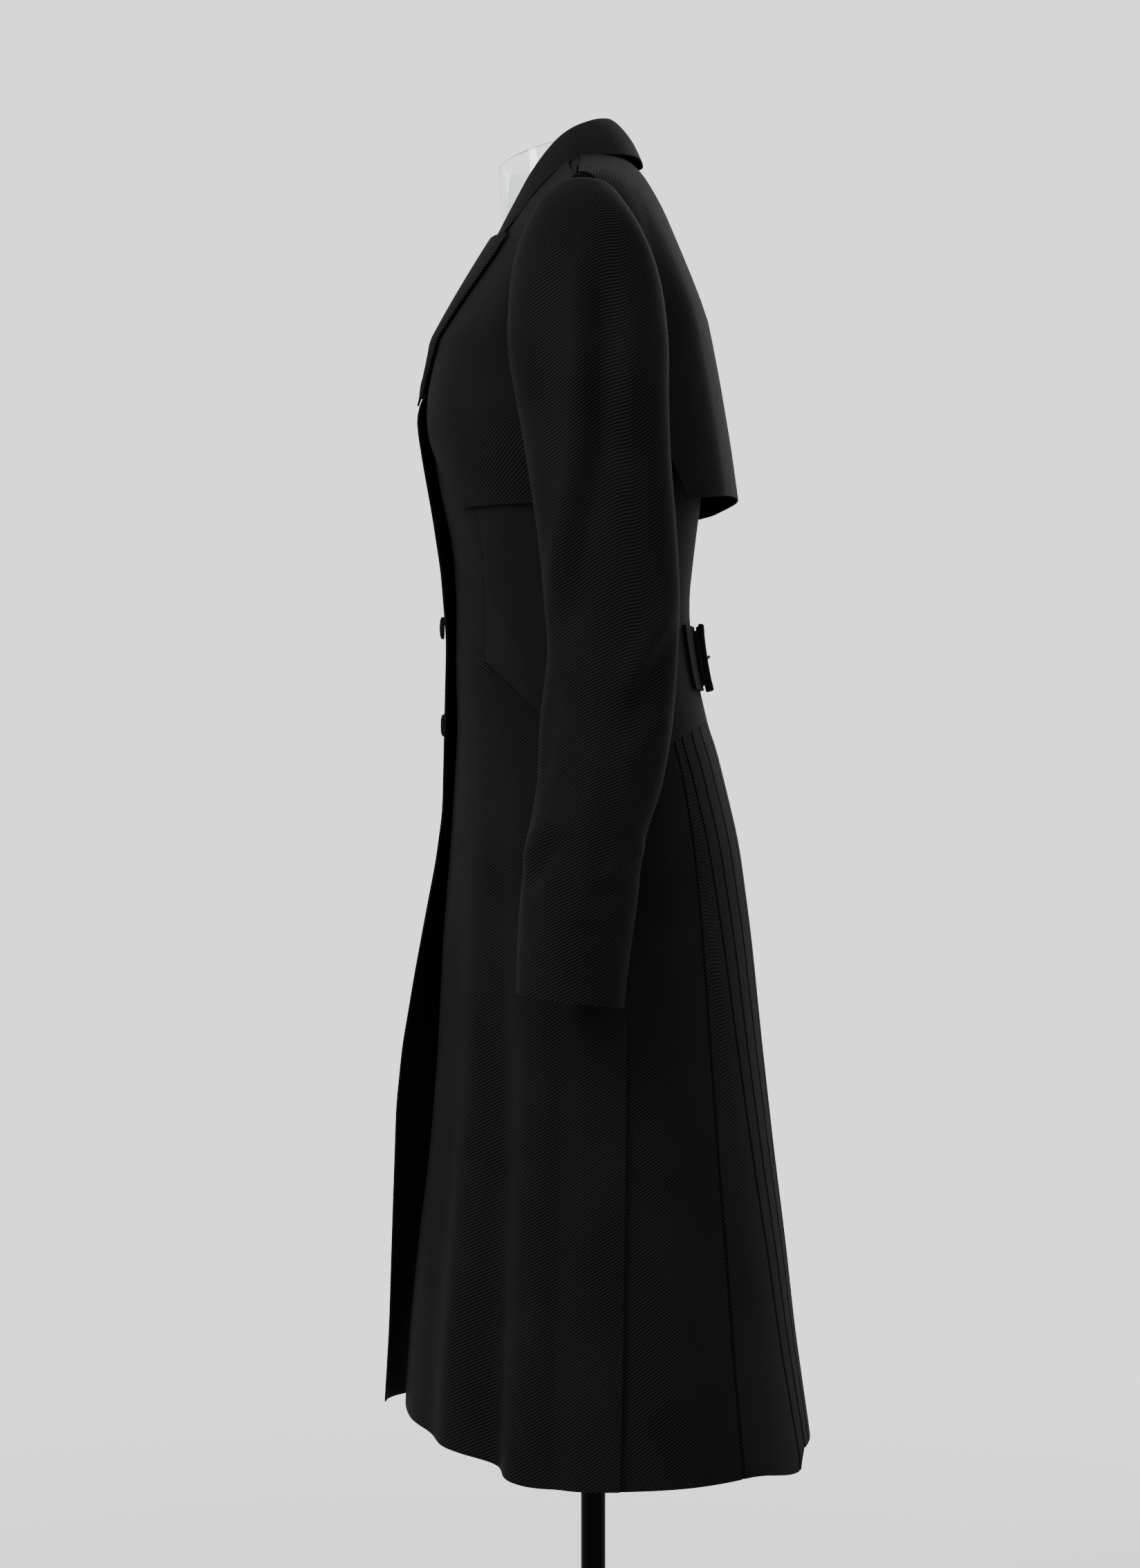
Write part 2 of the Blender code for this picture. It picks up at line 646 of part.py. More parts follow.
def pleat_walls(name, outer_lines, inner_lines, surface, side):
    """A wall from the skirt's hem to the yoke, along lines of (turns, lift)."""
    outer = []
    inner = []
    for out_line, in_line in zip(outer_lines, inner_lines):
        (yoke_turn, hem_turn), _ = out_line
        rows = spread(back_hem(hem_turn), yoke_low(yoke_turn) - SEAM, 9)
        for grid, (turns, lift) in ((outer, out_line), (inner, in_line)):
            column = []
            for z in rows:
                turn = turns[0] + (turns[1] - turns[0]) * fall(z)
                column.append(layer(turn, z, lift + 0.002 * ease((rows[-1] - z) / 0.03)))
            grid.append(column)
    wall(name, outer, inner, surface, mirror=side == "right")


def build_skirt_back(side, twill):
    """Side back of the skirt, from under the front's folded edge to the first pleat's fold."""
    outer = []
    inner = []
    for part in spread(0, 1, 8)[:-1]:
        start = shifted(FOLD_EDGE, -6.0)
        turns = tuple(start[k] + (FOLDS[0][k] - start[k]) * part for k in (0, 1))
        sunk = -FOLD_SINK * (1 - ease((part - 0.21) / 0.47))
        outer.append((turns, sunk))
        inner.append((turns, sunk - CLOTH))
    fold_out, fold_in = pleat_line(0, 0)
    pleat_walls("skirt_side_back_" + side, outer + fold_out, inner + fold_in, twill, side)


def build_pleats(side, twill):
    """Knife pleats from the second fold to the box at centre back."""
    under = -2 * CLOTH - 2 * PLEAT_GAP
    start = [(under_fold(0), under - PLEAT_GAP), (shifted(FOLDS[0], 0.3), under - PLEAT_GAP),
             (shifted(FOLDS[0], 1.9), 0.0), (shifted(under_fold(1), -0.3), 0.0)]
    fold_out, fold_in = pleat_line(1, PLEATS - 1)
    end = [((CENTRE_BACK, CENTRE_BACK), under - 0.0010)]
    inner = [(turns, lift - CLOTH) for turns, lift in start] + fold_in
    inner += [(turns, lift - CLOTH) for turns, lift in end]
    pleat_walls("pleated_back_" + side, start + fold_out + end, inner, twill, side)


def form_section(row):
    """A ring of the bare form, front to left to back to right."""
    z, half, front, back = row
    ring = []
    for n in range(FORM_SIDES):
        turn = 2 * pi * n / FORM_SIDES
        end = front if cos(turn) > 0 else back
        middle = RIDGE_Y * ease((z - WAIST_Z) / 0.2)
        ring.append(Vector((half * sin(turn), middle + (end - middle) * abs(cos(turn)), z)))
    return ring


def neck_ring(height, half, front, back, tilt):
    middle = (front + back) / 2
    ring = []
    for n in range(FORM_SIDES):
        turn = 2 * pi * n / FORM_SIDES
        y = middle - (back - front) / 2 * cos(turn)
        ring.append(Vector((half * sin(turn), y, height + (y - front) * tilt)))
    return ring


def form_shoulder(x, y):
    """Height of the bare form over this place in plan, just inside the coat."""
    row = FORM[-1]
    end = row[2] if y < RIDGE_Y else row[3]
    base = (end - RIDGE_Y) * sqrt(max(1e-6, 1 - (x / row[1]) ** 2))
    ratio = min(1.0, max(0.0, (y - RIDGE_Y) / base))
    full = FORM_FRONT_FULL if y < RIDGE_Y else FORM_BACK_FULL
    ridge = shoulder_height(abs(x)) - CLOTH - FORM_SEAT
    return row[0] + (ridge - row[0]) * (1 - ratio ** (1 / full))


def build_form(clear):
    """Clear hollow bust with a short neck, open at the rim and at the foot."""
    rings = [form_section(row) for row in FORM]
    top = rings[-1]
    base = neck_ring(0.0, *NECK_BASE, 0.0)
    for part in (0.04, 0.14, 0.28, 0.44, 0.60, 0.76, 0.90, 1.0):
        ring = []
        for rim, foot in zip(top, base):
            place = rim + (foot - rim) * part
            ring.append(Vector((place.x, place.y, form_shoulder(place.x, place.y))))
        rings.append(ring)
    foot = rings[-1]
    rim = neck_ring(1.374, *NECK_RIM)
    rings.append([low + (high - low) * 0.5 for low, high in zip(foot, rim)])
    rings.append(rim)
    grid = [[ring[n] for ring in rings] for n in range(FORM_SIDES)]
    wall("form_bust", grid, moved(grid, -ACRYLIC, ring=True), clear, ring=True)


def cylinder(name, radius, low, high, surface, sides=48, bevel=0.0):
    bpy.ops.mesh.primitive_cylinder_add(vertices=sides, radius=radius, depth=high - low,
                                        location=(0, 0, (low + high) / 2))
    made = bpy.context.object
    made.name = name
    made.data.name = name
    made.data.materials.append(surface)
    if bevel:
        rounding = made.modifiers.new("rounding", "BEVEL")
        rounding.width = bevel
        rounding.segments = 2
    made.data.shade_smooth()
    made.data.set_sharp_from_angle(angle=radians(35))
    return made


def build_stand(metal, clear):
    cylinder("base", BASE_RADIUS, 0.0, BASE_THICK, metal, 56, 0.002)
    cylinder("pole", POLE_RADIUS, BASE_THICK + SEAM, FORM_BOTTOM + PLATE_RISE - SEAM, metal, 32)
    plate = cylinder("form_plate", 1.0, 0.0, PLATE_THICK, clear, 48)
    low = FORM[0]
    ring_back = low[3] - ACRYLIC - SEAM * 4
    ring_front = low[2] + ACRYLIC + SEAM * 4
    for vertex in plate.data.vertices:
        x = vertex.co.x * (low[1] - ACRYLIC - SEAM * 8)
        y = vertex.co.y * (ring_back if vertex.co.y > 0 else -ring_front)
        vertex.co = Vector((x, y * 0.978, vertex.co.z))
    plate.location.z = FORM_BOTTOM + PLATE_RISE + PLATE_THICK / 2


def on_back(x, z, lift):
    """A place on the back by its distance from the centre, as (turn, height, lift)."""
    return (180 - degrees(asin(x / side_limit(z))), z, lift)


def patch(name, surface, across, heights, lift, thick, keep=None):
    """A flat piece laid on the back between two distances from the centre."""
    columns = [[on_back(x, z, lift) for z in heights] for x in across]
    body_panel(name, columns, surface, keep=keep, thick=thick)


def build_belt(twill, metal):
    """Half belt across centre back: two straps, a cloth-covered buckle and its prong."""
    low, high = BELT
    patch("belt_right", twill, spread(0.012, -0.058, 7), spread(low, high, 5),
          STRAP + SEAM, STRAP)
    patch("belt_left", twill, spread(0.058, 0.0135, 6), spread(low, high, 5),
          STRAP + SEAM, STRAP)
    patch("belt_tip", twill, spread(0.030, -0.044, 7), spread(low + 0.004, high - 0.004, 5),
          2 * STRAP + 3 * SEAM, STRAP - SEAM)
    bars_x = (BUCKLE_HALF, BUCKLE_HALF - BUCKLE_BAR, 0.0,
              BUCKLE_BAR - BUCKLE_HALF, -BUCKLE_HALF)
    bars_z = (low - 0.002, low - 0.002 + BUCKLE_BAR, (low + high) / 2,
              high + 0.002 - BUCKLE_BAR, high + 0.002)
    base = 2 * STRAP + 4 * SEAM
    patch("buckle", twill, bars_x, bars_z, base + BUCKLE_THICK, BUCKLE_THICK,
          keep=lambda i, j: i in (0, 3) or j in (0, 3))
    middle = (low + high) / 2
    patch("buckle_prong", metal, spread(BUCKLE_HALF - 0.003, 0.003 - BUCKLE_HALF, 4),
          (middle - 0.0012, middle + 0.0012), base + BUCKLE_THICK + SEAM + 0.0020, 0.0020)


def build_buttons(twill):
    """Two cloth-covered buttons near the right front's edge."""
    for number, (z, seat) in enumerate(BUTTONS, 1):
        face = skin(0.0, z).y - lap_lift(BUTTON_RADIUS, z) - seat
        button = cylinder(f"button_{number}", BUTTON_RADIUS, 0.0, BUTTON_THICK, twill, 20, 0.0014)
        button.rotation_euler = (pi / 2, 0, 0)
        button.location = (0.0, face - BUTTON_THICK / 2, z)


if __name__ == "__main__":
    remove_old_objects()
    black_twill = material("black wool twill", (0.012, 0.012, 0.014), 0.85)
    clear_acrylic = material("clear acrylic", (0.9, 0.92, 0.93), 0.05, alpha=0.2)
    black_metal = material("black metal", (0.01, 0.01, 0.01), 0.3, metallic=0.6)
    for name in ("left", "right"):
        build_front(name, black_twill)
        build_side(name, black_twill)
        build_back(name, black_twill)
        build_yoke(name, black_twill)
        build_storm_flap(name, black_twill)
        build_lapel(name, black_twill)
        build_sleeve(name, black_twill)
        build_skirt_back(name, black_twill)
        build_pleats(name, black_twill)
    build_cape(black_twill)
    build_collar(black_twill)
    build_form(clear_acrylic)
    build_stand(black_metal, clear_acrylic)
    build_belt(black_twill, black_metal)
    build_buttons(black_twill)
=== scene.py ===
"""Looks of a long black twill coat on a clear dress form: cloth, form, stand, light and camera."""
from math import asin, cos, degrees, exp, pi, radians, sin, sqrt

import bpy
import numpy as np
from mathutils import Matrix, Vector


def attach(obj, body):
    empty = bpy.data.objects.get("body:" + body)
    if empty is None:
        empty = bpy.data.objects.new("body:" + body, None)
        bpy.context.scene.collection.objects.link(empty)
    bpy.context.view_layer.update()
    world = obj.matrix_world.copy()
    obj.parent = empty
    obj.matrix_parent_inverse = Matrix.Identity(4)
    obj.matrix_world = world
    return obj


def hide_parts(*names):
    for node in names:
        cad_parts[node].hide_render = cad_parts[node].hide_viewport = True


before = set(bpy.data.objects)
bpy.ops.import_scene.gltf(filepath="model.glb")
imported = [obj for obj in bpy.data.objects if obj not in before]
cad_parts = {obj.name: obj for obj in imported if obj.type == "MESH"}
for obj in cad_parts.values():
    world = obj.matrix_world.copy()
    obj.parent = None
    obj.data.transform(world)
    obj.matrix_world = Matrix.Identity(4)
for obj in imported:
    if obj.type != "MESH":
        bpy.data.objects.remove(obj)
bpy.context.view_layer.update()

# The floor is plain pale studio paper. It is lit softly and fades out with distance, so that
# the pale surround takes over with no horizon behind the coat.


def linear(hex_colour):
    """An sRGB hex colour as the linear colour that shaders take."""
    parts = [int(hex_colour[n:n + 2], 16) / 255 for n in (1, 3, 5)]
    return [p / 12.92 if p <= 0.04045 else ((p + 0.055) / 1.055) ** 2.4 for p in parts] + [1.0]


def add_node(tree, kind, settings=None, values=None, links=None):
    """Adds a node: settings are its properties, values its sockets, links what feeds them."""
    node = tree.nodes.new(kind)
    for key, value in (settings or {}).items():
        setattr(node, key, value)
    for key, value in (values or {}).items():
        node.inputs[key].default_value = value
    for key, (source, output) in (links or {}).items():
        tree.links.new(source.outputs[output], node.inputs[key])
    return node


def new_material(name, **values):
    made = bpy.data.materials.new(name)
    made.use_nodes = True
    shader = made.node_tree.nodes["Principled BSDF"]
    for key, value in values.items():
        shader.inputs[key.replace("_", " ")].default_value = value
    return made, made.node_tree, shader


FLOOR_RADIUS = 2.2
paper, tree, shader = new_material("pale studio paper", Base_Color=linear("#c4c4c5"),
                                   Roughness=0.9)
place = add_node(tree, "ShaderNodeTexCoord")
ball = add_node(tree, "ShaderNodeVectorMath", {"operation": "LENGTH"}, None,
                {0: (place, "Object")})
fade = add_node(tree, "ShaderNodeMapRange", {"interpolation_type": "SMOOTHSTEP"},
                {"From Min": 0.5, "From Max": FLOOR_RADIUS, "To Min": 1.0, "To Max": 0.0},
                {"Value": (ball, "Value")})
tree.links.new(fade.outputs["Result"], shader.inputs["Alpha"])
bpy.ops.mesh.primitive_circle_add(vertices=96, radius=FLOOR_RADIUS, fill_type="NGON",
                                  location=(0, 0, -0.0005))
floor = bpy.context.object
floor.name = "floor"
floor.data.materials.append(paper)

# The fronts are black wool twill, cut in one from the shoulder to the hem. The right one laps
# over the left, and its free edge stands forward of it. They are sewn to the side pieces, and
# hang in soft flutes below the hip.

# Every body piece is read from one garment surface, in metres, so that the pieces meet along
# their seams as the cut ones do.
CLOTH = 0.0015
SEAM = 0.0003
UNDERARM_Z = 1.180
CHEST_Z = 1.220
SHOULDER_Z = 1.338
NECK_Z = 1.375
NECK_X = 0.070
ARMHOLE_X = 0.184
UNDERARM_X = 0.160
RIDGE_Y = -0.014
CHEST_HALF = 0.190
ARMHOLE_OPENS = 0.075
FRONT_FULL = 0.74
BACK_FULL = 0.28
WAIST_Z = 1.000
SHOULDER_STEPS = (0.94, 0.88, 0.81, 0.74, 0.66, 0.58, 0.49, 0.40, 0.32, 0.24, 0.16, 0.09, 0.011)

# height, front depth, back depth, half width and middle of the coat's outer surface
SECTIONS = (
    (0.285, -0.1610, 0.1845, 0.250, 0.010),
    (0.330, -0.1600, 0.1780, 0.245, 0.010),
    (0.390, -0.1560, 0.1695, 0.236, 0.009),
    (0.460, -0.1490, 0.1620, 0.224, 0.008),
    (0.540, -0.1390, 0.1520, 0.210, 0.007),
    (0.630, -0.1320, 0.1420, 0.196, 0.006),
    (0.720, -0.1280, 0.1330, 0.183, 0.004),
    (0.800, -0.1215, 0.1225, 0.171, 0.002),
    (0.850, -0.1186, 0.1105, 0.162, 0.000),
    (0.900, -0.1155, 0.0980, 0.151, -0.002),
    (0.950, -0.1175, 0.0865, 0.138, -0.004),
    (1.000, -0.1165, 0.0810, 0.131, -0.006),
    (1.050, -0.1190, 0.0865, 0.138, -0.008),
    (1.100, -0.1310, 0.0930, 0.150, -0.010),
    (1.165, -0.1410, 0.0900, 0.160, -0.012),
    (1.220, -0.1290, 0.0840, CHEST_HALF, RIDGE_Y),
)


def curve_of(table, column, reach=0.018):
    """A smooth curve through a table's column, as heights and values."""
    heights = np.arange(table[0][0] - 0.1, table[-1][0] + 0.1, 0.0005)
    values = np.interp(heights, [row[0] for row in table], [row[column] for row in table])
    steps = (-1.0, -0.5, 0.0, 0.5, 1.0)
    moved_values = [np.interp(heights + step * reach, heights, values) for step in steps]
    return heights, sum(moved_values) / len(steps)


SECTION_CURVES = [curve_of(SECTIONS, column) for column in range(1, 5)]


def smooth(curve, height):
    return float(np.interp(height, *curve))


def ease(value):
    value = min(1.0, max(0.0, value))
    return value * value * (3 - 2 * value)


def spread(start, end, count):
    return [start + (end - start) * n / (count - 1) for n in range(count)]


def shoulder_height(x):
    """Height of the shoulder ridge, which rises a little more inside the neck."""
    if x < NECK_X:
        return NECK_Z + 0.012 * (1 - x / NECK_X)
    return NECK_Z - (NECK_Z - SHOULDER_Z) * (x - NECK_X) / (ARMHOLE_X - NECK_X)


def side_limit(z):
    """Half width of the body, and above the underarm the armhole's distance from the centre."""
    if z < UNDERARM_Z:
        half = smooth(SECTION_CURVES[2], z)
        return min(half, UNDERARM_X) if z > WAIST_Z else half
    rise = (z - UNDERARM_Z) / (SHOULDER_Z - UNDERARM_Z)
    return UNDERARM_X + (ARMHOLE_X - UNDERARM_X) * rise


def depth_at(front, x, z):
    """Where the coat's outer surface lies, front or back, at this distance from the centre."""
    low = min(z, CHEST_Z)
    end = smooth(SECTION_CURVES[0 if front else 1], low)
    middle = smooth(SECTION_CURVES[3], low)
    opened = ease((z - UNDERARM_Z) / ARMHOLE_OPENS)
    width = side_limit(low) + (CHEST_HALF - side_limit(low)) * opened
    base = (end - middle) * sqrt(max(0.0, 1 - (x / width) ** 2))
    if z <= CHEST_Z:
        return middle + base
    rise = (z - CHEST_Z) / (shoulder_height(x) - CHEST_Z)
    return middle + base * max(0.0, 1 - rise) ** (FRONT_FULL if front else BACK_FULL)


def skin(turn, z):
    """A point of the coat's outer surface, by its turn from centre front towards the left."""
    x = side_limit(z) * sin(radians(turn))
    return Vector((x, depth_at(turn <= 90, abs(x), z), z))


def outward(turn, z):
    """Unit normal of the surface. Above the underarm the steps stay on one half."""
    near, far = turn - 0.5, turn + 0.5
    if z > UNDERARM_Z - 0.004 and abs(turn - 90) < 1.0:
        near, far = (turn - 1.0, turn) if turn <= 90 else (turn + 0.01, turn + 1.01)
    along = skin(far, z) - skin(near, z)
    up = skin(turn, z) - skin(turn, z - 0.00003) if z > CHEST_Z else (
        skin(turn, z + 0.001) - skin(turn, z - 0.001))
    return along.cross(up).normalized()


def layer(turn, z, lift=0.0):
    return skin(turn, z) + outward(turn, z) * lift


def turn_at(x, z):
    return degrees(asin(max(-1.0, min(1.0, x / side_limit(z)))))


def shoulder_rows(turn, full, last=0.0):
    """Heights from the chest to the ridge, evenly spaced over the rounding of the shoulder."""
    ridge = SHOULDER_Z
    for _ in range(12):
        ridge = shoulder_height(abs(side_limit(ridge) * sin(radians(turn))))
    steps = [max(step, last + step * (1 - last)) for step in SHOULDER_STEPS]
    return [CHEST_Z + (ridge - CHEST_Z) * (1 - step ** (1 / full)) for step in steps]


def wall_mesh(name, outer, inner, ring, keep, mirror):
    """A closed wall between two grids, with a UV map in metres of cloth. Returns its area too."""
    columns = len(outer)
    rows = len(outer[0])
    grid = np.array([[tuple(p) for p in line] for line in outer])
    across = np.zeros((columns + 1, rows))
    closed = np.concatenate([grid, grid[:1]])
    across[1:] = np.cumsum(np.linalg.norm(np.diff(closed, axis=0), axis=2), axis=0)
    across -= across[columns // 2]
    rising = np.zeros((columns, rows))
    rising[:, 1:] = np.cumsum(np.linalg.norm(np.diff(grid, axis=1), axis=2), axis=1)
    points = [p for line in outer for p in line] + [p for line in inner for p in line]
    half = columns * rows
    last = columns if ring else columns - 1
    cells = {(i, j) for i in range(last) for j in range(rows - 1) if keep is None or keep(i, j)}

    def index(i, j):
        return (i % columns) * rows + j

    faces = []
    cloth_uv = []
    area = 0.0
    for i, j in sorted(cells):
        corner = (index(i, j), index(i + 1, j), index(i + 1, j + 1), index(i, j + 1))
        spots = [(across[i, j], rising[i, j]),
                 (across[i + 1, j], rising[(i + 1) % columns, j]),
                 (across[i + 1, j + 1], rising[(i + 1) % columns, j + 1]),
                 (across[i, j + 1], rising[i, j + 1])]
        a, b, c, d = (points[k] for k in corner)
        area += ((c - a).cross(d - b)).length / 2
        faces.append(corner)
        cloth_uv.append(spots)
        faces.append(tuple(half + k for k in reversed(corner)))
        cloth_uv.append(spots[::-1])
        sides = ((i, j - 1, 0, 1), (i + 1, j, 1, 2), (i, j + 1, 2, 3), (i - 1, j, 3, 0))
        for other_i, other_j, one, two in sides:
            other_i = other_i % columns if ring else other_i
            if (other_i, other_j) not in cells:
                faces.append((corner[two], corner[one], corner[one] + half, corner[two] + half))
                cloth_uv.append([spots[two], spots[one], spots[one], spots[two]])
    used = sorted({k for face in faces for k in face})
    number = {k: n for n, k in enumerate(used)}
    faces = [tuple(number[k] for k in face) for face in faces]
    points = [points[k] for k in used]
    if mirror:
        points = [Vector((-p.x, p.y, p.z)) for p in points]
        faces = [face[::-1] for face in faces]
        cloth_uv = [spots[::-1] for spots in cloth_uv]
    mesh = bpy.data.meshes.new(name)
    mesh.from_pydata([tuple(p) for p in points], [], faces)
    layer_uv = mesh.uv_layers.new(name="weave")
    layer_uv.data.foreach_set("uv", [v for spots in cloth_uv for spot in spots for v in spot])
    mesh.shade_smooth()
    mesh.set_sharp_from_angle(angle=radians(40))
    width = float(np.linalg.norm(np.diff(grid, axis=0), axis=2).sum(0).max())
    length = float(np.linalg.norm(np.diff(grid, axis=1), axis=2).sum(1).max())
    return mesh, width, length, area


RIB = 0.0024


def twill(name, dark, light, slant):
    """Black wool twill: dull and deep, with a woven diagonal rib crossed by its yarns' floats.

    The rib is a little coarser than its real 2 mm pitch, so that it shows.
    """
    made, tree, shader = new_material(name, Roughness=0.75, Sheen_Weight=0.004,
                                      Sheen_Roughness=0.5, Specular_IOR_Level=0.01)
    spot = add_node(tree, "ShaderNodeUVMap", {"uv_map": "weave"})
    turned = add_node(tree, "ShaderNodeMapping", None, {"Rotation": (0, 0, radians(slant))},
                      {"Vector": (spot, "UV")})
    ribs = add_node(tree, "ShaderNodeTexWave", {"bands_direction": "X"},
                    {"Scale": 2 * pi / (20 * RIB), "Distortion": 0.25, "Detail": 1.0,
                     "Detail Scale": 0.6}, {"Vector": (turned, "Vector")})
    floats = add_node(tree, "ShaderNodeTexWave", {"bands_direction": "Y"},
                      {"Scale": 2 * pi / (20 * RIB), "Distortion": 0.8, "Detail": 1.0,
                       "Detail Scale": 0.6}, {"Vector": (turned, "Vector")})
    yarn = add_node(tree, "ShaderNodeMath", {"operation": "MULTIPLY_ADD"}, {1: 0.45, 2: 0.55},
                    {0: (floats, "Fac")})
    # patches some 110 mm across, where wear has left the cloth a little paler
    patch = add_node(tree, "ShaderNodeTexNoise", None, {"Scale": 9.0, "Detail": 2.0},
                     {"Vector": (spot, "UV")})
    mixed = add_node(tree, "ShaderNodeMath", {"operation": "MULTIPLY"}, None,
                     {0: (ribs, "Fac"), 1: (yarn, "Value")})
    worn = add_node(tree, "ShaderNodeMath", {"operation": "MULTIPLY_ADD"}, {1: 0.5},
                    {0: (patch, "Fac"), 2: (mixed, "Value")})
    colour = add_node(tree, "ShaderNodeValToRGB", None, None, {"Fac": (worn, "Value")})
    colour.color_ramp.elements[0].position = 0.2
    colour.color_ramp.elements[0].color = linear(dark)
    colour.color_ramp.elements[1].position = 0.85
    colour.color_ramp.elements[1].color = linear(light)
    bump = add_node(tree, "ShaderNodeBump", None, {"Strength": 0.65, "Distance": 0.0005},
                    {"Height": (mixed, "Value")})
    tree.links.new(colour.outputs["Color"], shader.inputs["Base Color"])
    tree.links.new(bump.outputs["Normal"], shader.inputs["Normal"])
    return made


black_twill = twill("black wool twill", "#010101", "#101011", 58)


def placed(name, data):
    made = bpy.data.objects.new(name, data)
    bpy.context.scene.collection.objects.link(made)
    return made


def cloth(name, node, outer, inner, finish=None, keep=None,
          mirror=False):
    """One cut piece of the coat, which takes the place of its plain solid."""
    mesh, width, length, area = wall_mesh(name, outer, inner, False, keep, mirror)
    mesh.materials.append(finish or black_twill)
    piece = placed(name, mesh)
    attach(piece, "root")
    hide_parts(node)
    length = max(length, area / width * 1.002)


def body_cloth(name, node, columns, finish=None, mirror=False, keep=None, thick=CLOTH):
    """A piece that follows the body, from columns of points (turn, height, lift)."""
    outer = [[layer(turn, z, lift) for turn, z, lift in line] for line in columns]
    inner = [[layer(turn, z, lift - thick) for turn, z, lift in line] for line in columns]
    cloth(name, node, outer, inner, finish, keep, mirror)


# places of the fronts' seams and edges: turns in degrees from centre front, the rest in metres
PRINCESS = 40.0
SIDE_SEAM = 97.0
YOKE_TOP_Z = 0.985
POCKET_Z = 0.951
POCKET_GAPE = 0.0042
EDGE_X = 0.020
LAP_START = -0.058
FOLD_EDGE = (102.0, 93.0)
BREAK_Z = 1.155
YOKE_LOW_Z = 0.874
HEM_Z = 0.295
POCKET_FALL = 0.077
RIGHT_FLUTE_SHIFT = 4.0

# height and place of the right front's free edge, which stands forward of the left front
FREE_EDGE = (
    (0.320, -0.1780), (0.389, -0.1740), (0.490, -0.1710), (0.576, -0.1680), (0.626, -0.1630),
    (0.692, -0.1520), (0.748, -0.1416), (0.782, -0.1350), (0.826, -0.1290), (0.900, -0.1275),
    (0.972, -0.1260), (1.033, -0.1310), (1.082, -0.1385), (1.118, -0.1450), (1.155, -0.1510),
)
FREE_EDGE_CURVE = curve_of(FREE_EDGE, 1, 0.010)


def seam_turn(z):
    return degrees(SEAM / 2 / side_limit(z)) * 1.5


def princess(z):
    """The front princess seam, which swings out into the armhole."""
    return PRINCESS + 42.0 * ease((z - 1.09) / (UNDERARM_Z - 1.09))


def pocket_line(turn):
    """The pocket mouth, which falls from the princess seam to the side seam."""
    part = (turn - PRINCESS) / (SIDE_SEAM - PRINCESS)
    return POCKET_Z - POCKET_FALL / 2 * (ease(part) + min(1.0, max(0.0, 1.3 * part)))


def yoke_low(turn):
    return YOKE_LOW_Z + 0.031 * ease((turn - SIDE_SEAM) / (180 - SIDE_SEAM))


def front_hem(turn):
    return 0.326 - 0.031 * ease(turn / 80.0)


def back_hem(turn):
    """Hem of the back, lowest at the second fold, with the inner pleats a little shorter."""
    return HEM_Z - 0.011 * ease((turn - 130) / 25) + 0.014 * ease((turn - 156) / 4)


def fall(z):
    """How far down the skirt a height lies, from 0 at the yoke to 1 at the hem."""
    return min(1.0, max(0.0, (YOKE_LOW_Z - z) / (YOKE_LOW_Z - HEM_Z)))


def fold_edge(z):
    return FOLD_EDGE[0] + (FOLD_EDGE[1] - FOLD_EDGE[0]) * fall(z)


# a row per hollow of the front skirt: turn, half its breadth in turn, depth at the hem
HOLLOWS = ((28.0, 7.0, 0.007), (50.0, 8.5, 0.026), (76.0, 5.0, 0.008))


def flute(turn, z, shift=0.0):
    """Soft upright flutes, which deepen towards the hem of the front skirt."""
    fade = ease((turn - 8) / 12) * ease((fold_edge(z) - 5.0 - turn) / 16)
    deep = sum(depth * exp(-((turn - shift - at) / wide) ** 2) for at, wide, depth in HOLLOWS)
    return -fade * ease((0.88 - z) / 0.5) * deep


def lap_lift(past, z):
    """How far the right front stands forward, at this distance past the centre."""
    low = min(z, BREAK_Z)
    forward = skin(0.0, low).y - smooth(FREE_EDGE_CURVE, low)
    fade = 1 - ease((z - BREAK_Z) / 0.06)
    return fade * forward * ease((past - LAP_START) / (EDGE_X - LAP_START))


def neck_opening(z):
    """Distance of the front's edge from the centre, negative where it laps past it."""
    rise = (z - BREAK_Z) / (NECK_Z - BREAK_Z)
    if rise <= 0:
        return -EDGE_X
    return NECK_X * rise - EDGE_X * (1 - ease(rise * 3.0))


def front_turn(part, z):
    start = turn_at(neck_opening(z), z)
    if part <= 1.0:
        end = 90.0 if z > UNDERARM_Z else princess(z) - seam_turn(z)
        return start + ((PRINCESS if z < POCKET_Z else end) - start) * part
    return PRINCESS + (fold_edge(z) - PRINCESS) * (part - 1.0)


